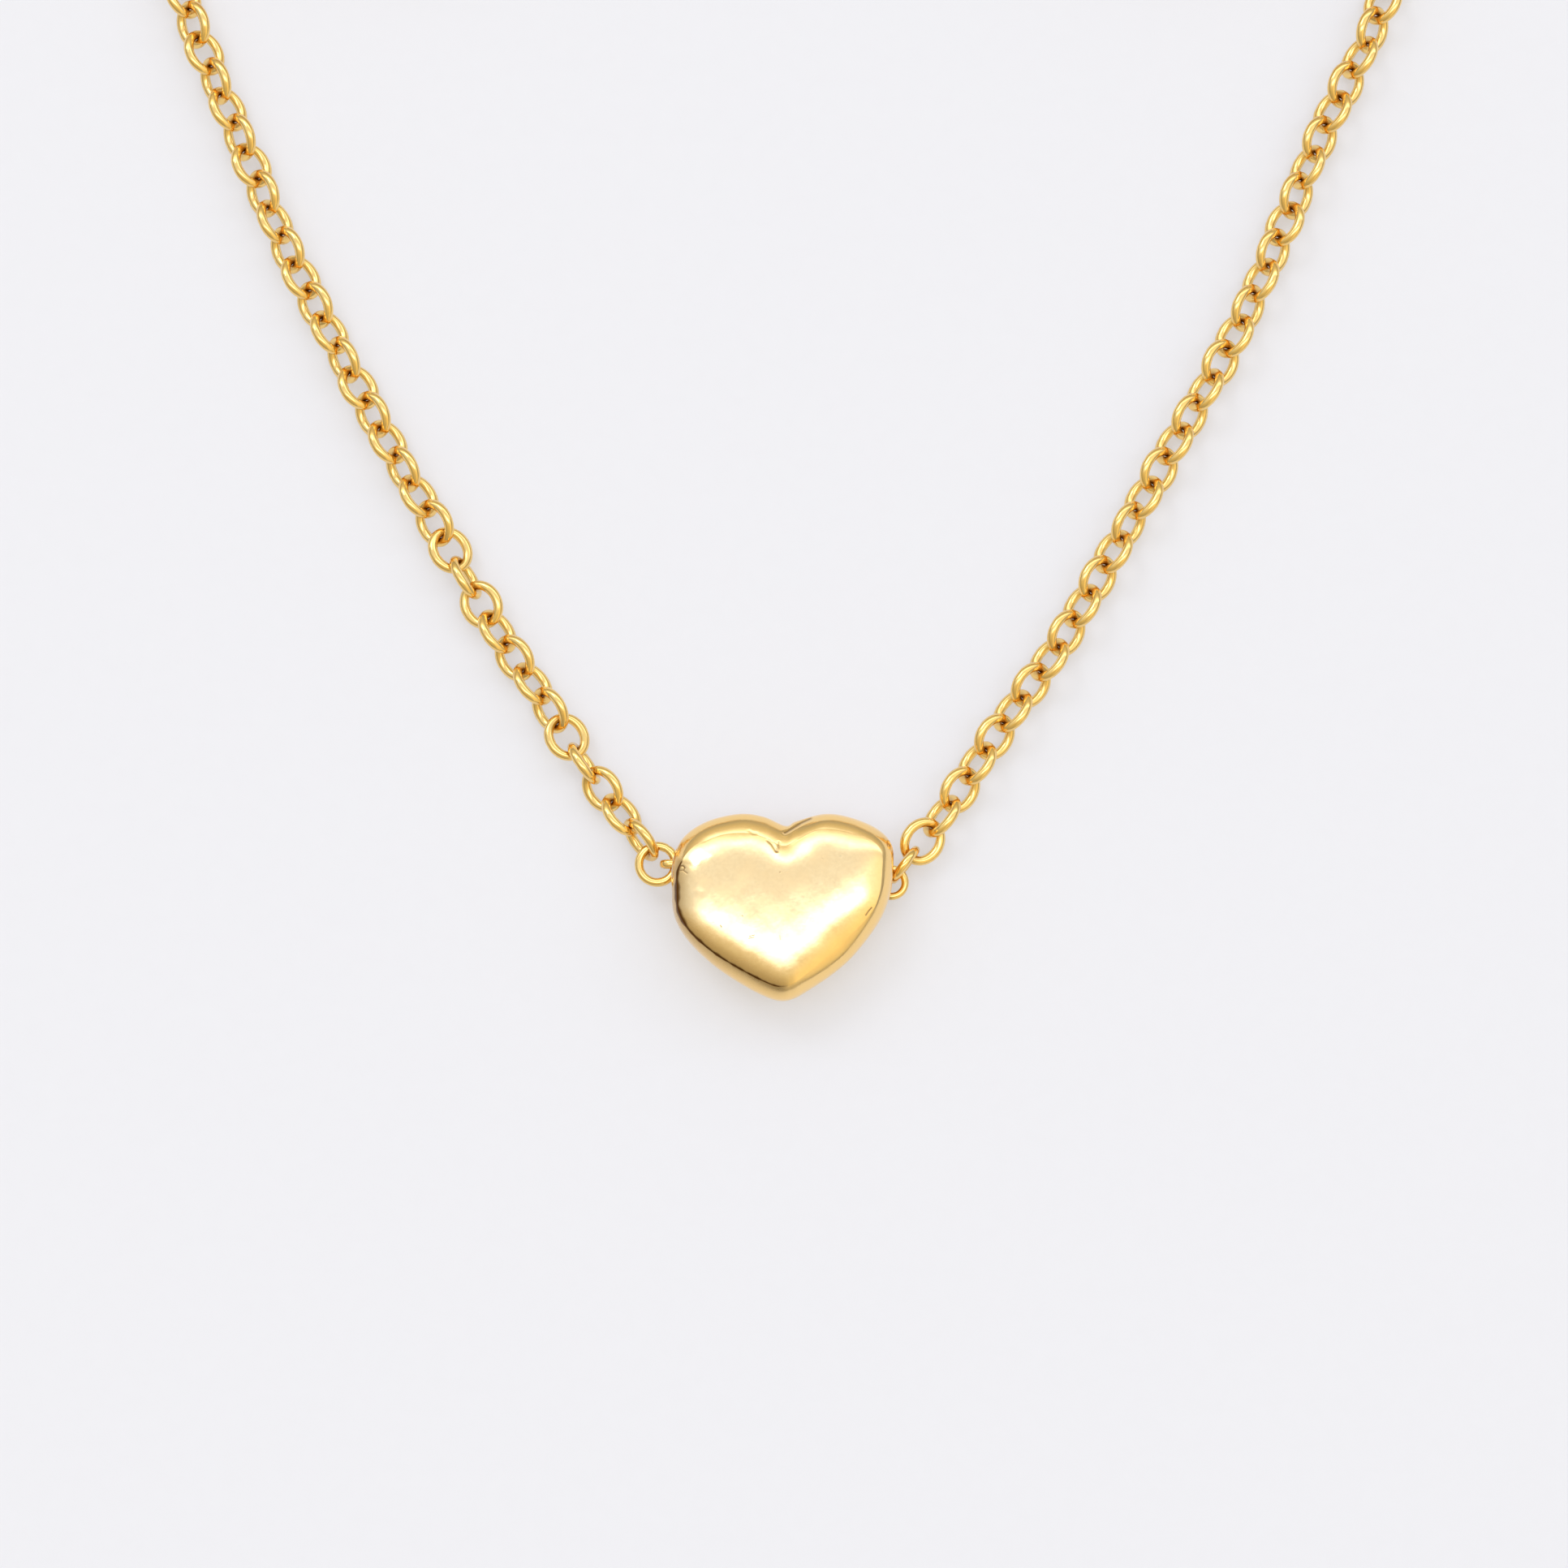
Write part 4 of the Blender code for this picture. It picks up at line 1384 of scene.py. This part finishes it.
    def build_left(
        self, gold: bpy.types.Material, steel: bpy.types.Material
    ) -> list[bpy.types.Object]:
        """Makes the clasp with its lug and ring.

        Args:
            gold: the finish of everything but the spring.
            steel: the spring's finish.

        Returns:
            The pieces, which hang on the left chain.
        """
        place = self.place()
        axis = Vector(joint_of("clasp_ring_swing")["axis"])
        return [
            self.ring(
                "clasp_joining_ring", "clasp_ring", "clasp_ring", self.ring_radius,
                self.ring_wire, axis, gold,
            ),
            self.ring("clasp_eyelet", "clasp_lug", "clasp", self.lug_radius, self.lug_wire, UP, gold),
            self.case(place, gold),
            self.tongue(place, gold),
            self.spring(place, steel),
        ]

    def build_right(self, gold: bpy.types.Material) -> list[bpy.types.Object]:
        """Makes the ring that the clasp hooks into, and returns it in a list."""
        return [
            self.ring(
                "closing_ring", "end_ring", "end_ring", self.end_ring_radius,
                self.end_ring_wire, UP, gold,
            )
        ]


# ---------------------------------------------------------------- studio


@dataclass(frozen=True)
class Panel:
    """A soft bright area of the room, by how far its edges are tipped from straight up.

    The angles are in degrees: the tilt towards +Y and the lean towards +X.
    """

    tilt: tuple[float, float]
    lean: tuple[float, float]
    fade: float
    level: float
    colour: tuple[float, float, float] = (0.90, 0.97, 1.15)


@dataclass
class Studio:
    """The white card, the soft room and the camera above it."""

    camera_tilt: float = 7.0
    camera_distance: float = 150.0 * MM
    target: tuple[float, float, float] = (0.029 * MM, 4.578 * MM, 0.8 * MM)
    lens: float = 95.28
    floor_size: float = 1.2
    brightness: float = 3.0
    # Tilt towards +Y in degrees, brightness there, and warmth from 0 to 1.
    room: tuple[tuple[float, float, float], ...] = (
        (-180, 0.80, 0.0), (-80, 0.80, 0.1), (-60, 0.76, 0.4), (-45, 0.76, 0.5),
        (-30, 0.84, 0.5), (-20, 0.90, 0.4), (-11, 1.0, 0.0), (-3, 0.98, -0.2),
        (10, 0.98, -0.2), (24, 0.97, -0.2), (32, 1.25, -0.2), (40, 2.8, -0.2),
        (47, 1.9, -0.1), (56, 1.05, 0.2), (68, 1.05, 0.4), (80, 0.95, 0.1), (180, 0.80, 0.0),
    )
    # Height of a direction from 0 at the horizon to 1 straight up, and its share of that.
    walls: tuple[tuple[float, float], ...] = (
        (-1, 0.4), (0.0, 0.42), (0.12, 0.52), (0.3, 0.62), (0.5, 0.76), (0.75, 0.90),
        (0.95, 1.0),
    )
    panels: tuple[Panel, ...] = (
        Panel((-11, -1), (-22, 30), 8, 2.8),
        Panel((-80, 20), (24, 92), 14, 0.42, (1.0, 0.82, 0.45)),
    )

    plain_wall: float = 0.82
    plain_from: tuple[float, float] = (0.62, 0.90)

    def camera(self) -> None:
        """Sets the camera above the heart, tipped a little towards the viewer."""
        lens = bpy.data.cameras.new("camera")
        lens.lens = self.lens
        lens.sensor_width = 36
        lens.clip_start = 1 * MM
        lens.clip_end = 5
        eye = bpy.data.objects.new("camera", lens)
        tilt = radians(self.camera_tilt)
        eye.rotation_euler = (tilt, 0, 0)
        back = Vector((0, -sin(tilt), cos(tilt)))
        eye.location = Vector(self.target) + back * self.camera_distance
        bpy.context.scene.collection.objects.link(eye)
        bpy.context.scene.camera = eye

    def floor(self) -> None:
        """Lays the white card that the necklace rests on."""
        clear_bench()
        bpy.ops.mesh.primitive_plane_add(size=self.floor_size, location=(0, 0, 0))
        card = name_piece("white_card")
        card.data.materials.append(Paper().material())

    def sky(self) -> None:
        """A bright room: a soft white panel overhead and warmer, dimmer walls."""
        world = bpy.data.worlds.new("soft_room")
        bpy.context.scene.world = world
        world.use_nodes = True
        tree = world.node_tree
        nodes, links = tree.nodes, tree.links
        where = nodes.new("ShaderNodeTexCoord")
        split = nodes.new("ShaderNodeSeparateXYZ")
        links.new(where.outputs["Generated"], split.inputs["Vector"])
        tilt = self._angle(tree, split.outputs["Y"], split.outputs["Z"])
        lean = self._angle(tree, split.outputs["X"], split.outputs["Z"])
        colours = []
        for at, level, warmth in self.room:
            red = level / self.brightness
            green, blue = red * (1 - 0.22 * warmth), red * (1 - 0.75 * warmth)
            colours.append(((at + 180) / 360, (red, green, blue, 1)))
        share = self._share(tree, tilt, -180, 180, "LINEAR")
        colour = self._ramp(tree, share, colours)
        greys = [((at + 1) / 2, (level, level, level, 1)) for at, level in self.walls]
        dimming = self._ramp(tree, self._share(tree, split.outputs["Z"], -1, 1, "LINEAR"), greys)
        lit = nodes.new("ShaderNodeMix")
        lit.data_type = "RGBA"
        lit.blend_type = "MULTIPLY"
        lit.inputs["Factor"].default_value = 1.0
        links.new(colour, lit.inputs["A"])
        links.new(dimming, lit.inputs["B"])
        room = nodes["Background"]
        room.inputs["Strength"].default_value = self.brightness
        links.new(lit.outputs["Result"], room.inputs["Color"])
        total = room.outputs["Background"]
        for panel in self.panels:
            glow = nodes.new("ShaderNodeBackground")
            glow.inputs["Color"].default_value = (*panel.colour, 1)
            links.new(self._panel(tree, panel, tilt, lean), glow.inputs["Strength"])
            both = nodes.new("ShaderNodeAddShader")
            links.new(total, both.inputs[0])
            links.new(glow.outputs["Background"], both.inputs[1])
            total = both.outputs["Shader"]
        # Straight out to the left and right the room is one plain wall.
        plain = nodes.new("ShaderNodeBackground")
        plain.inputs["Strength"].default_value = self.plain_wall
        links.new(dimming, plain.inputs["Color"])
        sideways = node_math(tree, "MULTIPLY", split.outputs["X"], split.outputs["X"])
        ends = nodes.new("ShaderNodeMixShader")
        links.new(self._share(tree, sideways, *self.plain_from, "SMOOTHSTEP"), ends.inputs[0])
        links.new(total, ends.inputs[1])
        links.new(plain.outputs["Background"], ends.inputs[2])
        links.new(ends.outputs["Shader"], nodes["World Output"].inputs["Surface"])

    @staticmethod
    def _ramp(
        tree: bpy.types.NodeTree, share: bpy.types.NodeSocket,
        stops: list[tuple[float, tuple[float, float, float, float]]],
    ) -> bpy.types.NodeSocket:
        """Colours along a ramp.

        Args:
            tree: the world's nodes.
            share: the socket with the place on the ramp.
            stops: each stop's place and colour.

        Returns:
            The socket with the colour.
        """
        ramp = tree.nodes.new("ShaderNodeValToRGB")
        for k, (place, colour) in enumerate(stops):
            elements = ramp.color_ramp.elements
            stop = elements[k] if k < 2 else elements.new(place)
            stop.position = place
            stop.color = colour
        tree.links.new(share, ramp.inputs["Fac"])
        return ramp.outputs["Color"]

    def _panel(
        self, tree: bpy.types.NodeTree, panel: Panel, tilt: bpy.types.NodeSocket,
        lean: bpy.types.NodeSocket,
    ) -> bpy.types.NodeSocket:
        """How bright a panel is in each direction.

        Args:
            tree: the world's nodes.
            panel: the panel.
            tilt: the socket with the direction's tilt.
            lean: the socket with the direction's lean.

        Returns:
            The socket with the brightness.
        """
        found = None
        for angle, (low, high) in ((tilt, panel.tilt), (lean, panel.lean)):
            for edge, way in ((low, 1), (high, -1)):
                start, end = edge - way * panel.fade, edge + way * panel.fade
                part = self._share(tree, angle, start, end, "SMOOTHSTEP")
                if found is None:
                    part = node_math(tree, "MULTIPLY", part, panel.level)
                else:
                    part = node_math(tree, "MULTIPLY", part, found)
                found = part
        return found

    @staticmethod
    def _angle(
        tree: bpy.types.NodeTree, side: bpy.types.NodeSocket, up: bpy.types.NodeSocket
    ) -> bpy.types.NodeSocket:
        """How far a direction is tipped sideways from straight up, in degrees.

        Args:
            tree: the world's nodes.
            side: the direction's part to the side.
            up: the direction's part upwards.

        Returns:
            The socket with the angle.
        """
        turn = tree.nodes.new("ShaderNodeMath")
        turn.operation = "ARCTAN2"
        tree.links.new(side, turn.inputs[0])
        tree.links.new(up, turn.inputs[1])
        whole = tree.nodes.new("ShaderNodeMath")
        whole.operation = "DEGREES"
        tree.links.new(turn.outputs["Value"], whole.inputs[0])
        return whole.outputs["Value"]

    @staticmethod
    def _share(
        tree: bpy.types.NodeTree, value: bpy.types.NodeSocket, start: float, end: float,
        form: str,
    ) -> bpy.types.NodeSocket:
        """How far a value has gone from one number to another, from 0 to 1.

        Args:
            tree: the world's nodes.
            value: the socket to read.
            start: the number that gives 0.
            end: the number that gives 1.
            form: the way between them, LINEAR or SMOOTHSTEP.

        Returns:
            The socket with the share.
        """
        share = tree.nodes.new("ShaderNodeMapRange")
        share.interpolation_type = form
        tree.links.new(value, share.inputs["Value"])
        share.inputs["From Min"].default_value = start
        share.inputs["From Max"].default_value = end
        return share.outputs["Result"]

    def lamp(
        self, name: str, place: tuple[float, float, float], size: float, power: float
    ) -> None:
        """A soft square light that faces the heart.

        Args:
            name: the light's name.
            place: where it stands, in metres.
            size: its width and height.
            power: its power in watts.
        """
        light = bpy.data.lights.new(name, "AREA")
        light.shape = "RECTANGLE"
        light.size = size
        light.size_y = size
        light.energy = power
        light.color = (0.92, 0.97, 1.0)
        lamp = bpy.data.objects.new(name, light)
        lamp.location = place
        lamp.rotation_euler = (-Vector(place)).to_track_quat("-Z", "Y").to_euler()
        bpy.context.scene.collection.objects.link(lamp)

    def build(self) -> None:
        """Sets the camera, the card and the lights."""
        self.camera()
        self.floor()
        self.sky()
        self.lamp("side_window", (-0.30, 0.38, 0.62), 0.22, 0.55)
        bpy.context.scene.view_settings.view_transform = "Standard"


# ---------------------------------------------------------------- the necklace

LEFT_ROUTE_MM = (
    (-4.88, 2.22), (-6.17, 3.90), (-7.49, 5.73), (-8.73, 7.75), (-10.04, 9.60),
    (-11.21, 11.55), (-12.63, 14.04), (-14.02, 16.40), (-15.55, 19.20), (-16.63, 21.27),
    (-17.71, 23.32), (-18.70, 25.43), (-19.61, 27.60), (-20.52, 29.73), (-21.42, 31.85),
    (-22.24, 34.00), (-23.16, 36.40), (-24.20, 39.30), (-25.35, 42.60),
)
RIGHT_ROUTE_MM = (
    (4.78, 2.16), (6.02, 3.80), (7.28, 5.75), (8.57, 7.62), (9.91, 9.48),
    (11.09, 11.50), (12.26, 13.53), (13.43, 15.60), (14.54, 17.57), (15.69, 19.54),
    (16.77, 21.60), (17.80, 23.83), (18.72, 26.02), (19.62, 28.20), (20.68, 30.43),
    (21.68, 32.40), (22.40, 34.30), (23.28, 36.60), (24.26, 39.40), (25.35, 42.60),
)
LEFT_ROLLS = (-70, 50, -38, 78, 12, -50, 50, -40, 50, -20, 72, 20)
RIGHT_ROLLS = (18, -58, 38, -50, 38, -50, 42, -48, 42, -48)


def main() -> None:
    """Builds the studio and the necklace."""
    logging.basicConfig(level=logging.INFO, format="%(name)s: %(message)s")
    Studio().build()
    wire_gold = Gold(
        "wire_gold", (0.96, 0.655, 0.205), roughness=0.13, patina=(0.30, 0.14, 0.022),
        has_patina=True,
    ).material()
    heart_gold = Gold(
        "heart_gold", (1.0, 0.752, 0.385), roughness=0.16, has_patina=True,
        rim_colour=(1.0, 0.67, 0.235), marks=HEART_MARKS,
    ).material()
    steel = Gold("spring_steel", (0.62, 0.60, 0.56), roughness=0.25, coat=0).material()
    clasp = Clasp()
    left_end = clasp.build_left(wire_gold, steel)
    right_end = clasp.build_right(wire_gold)
    Chain(Side.LEFT, LEFT_ROUTE_MM, LEFT_ROLLS).build(wire_gold, left_end)
    Chain(Side.RIGHT, RIGHT_ROUTE_MM, RIGHT_ROLLS).build(wire_gold, right_end)
    Heart().build(heart_gold)
    Eyes().build(wire_gold)
    clear_bench()


if __name__ == "__main__":
    main()
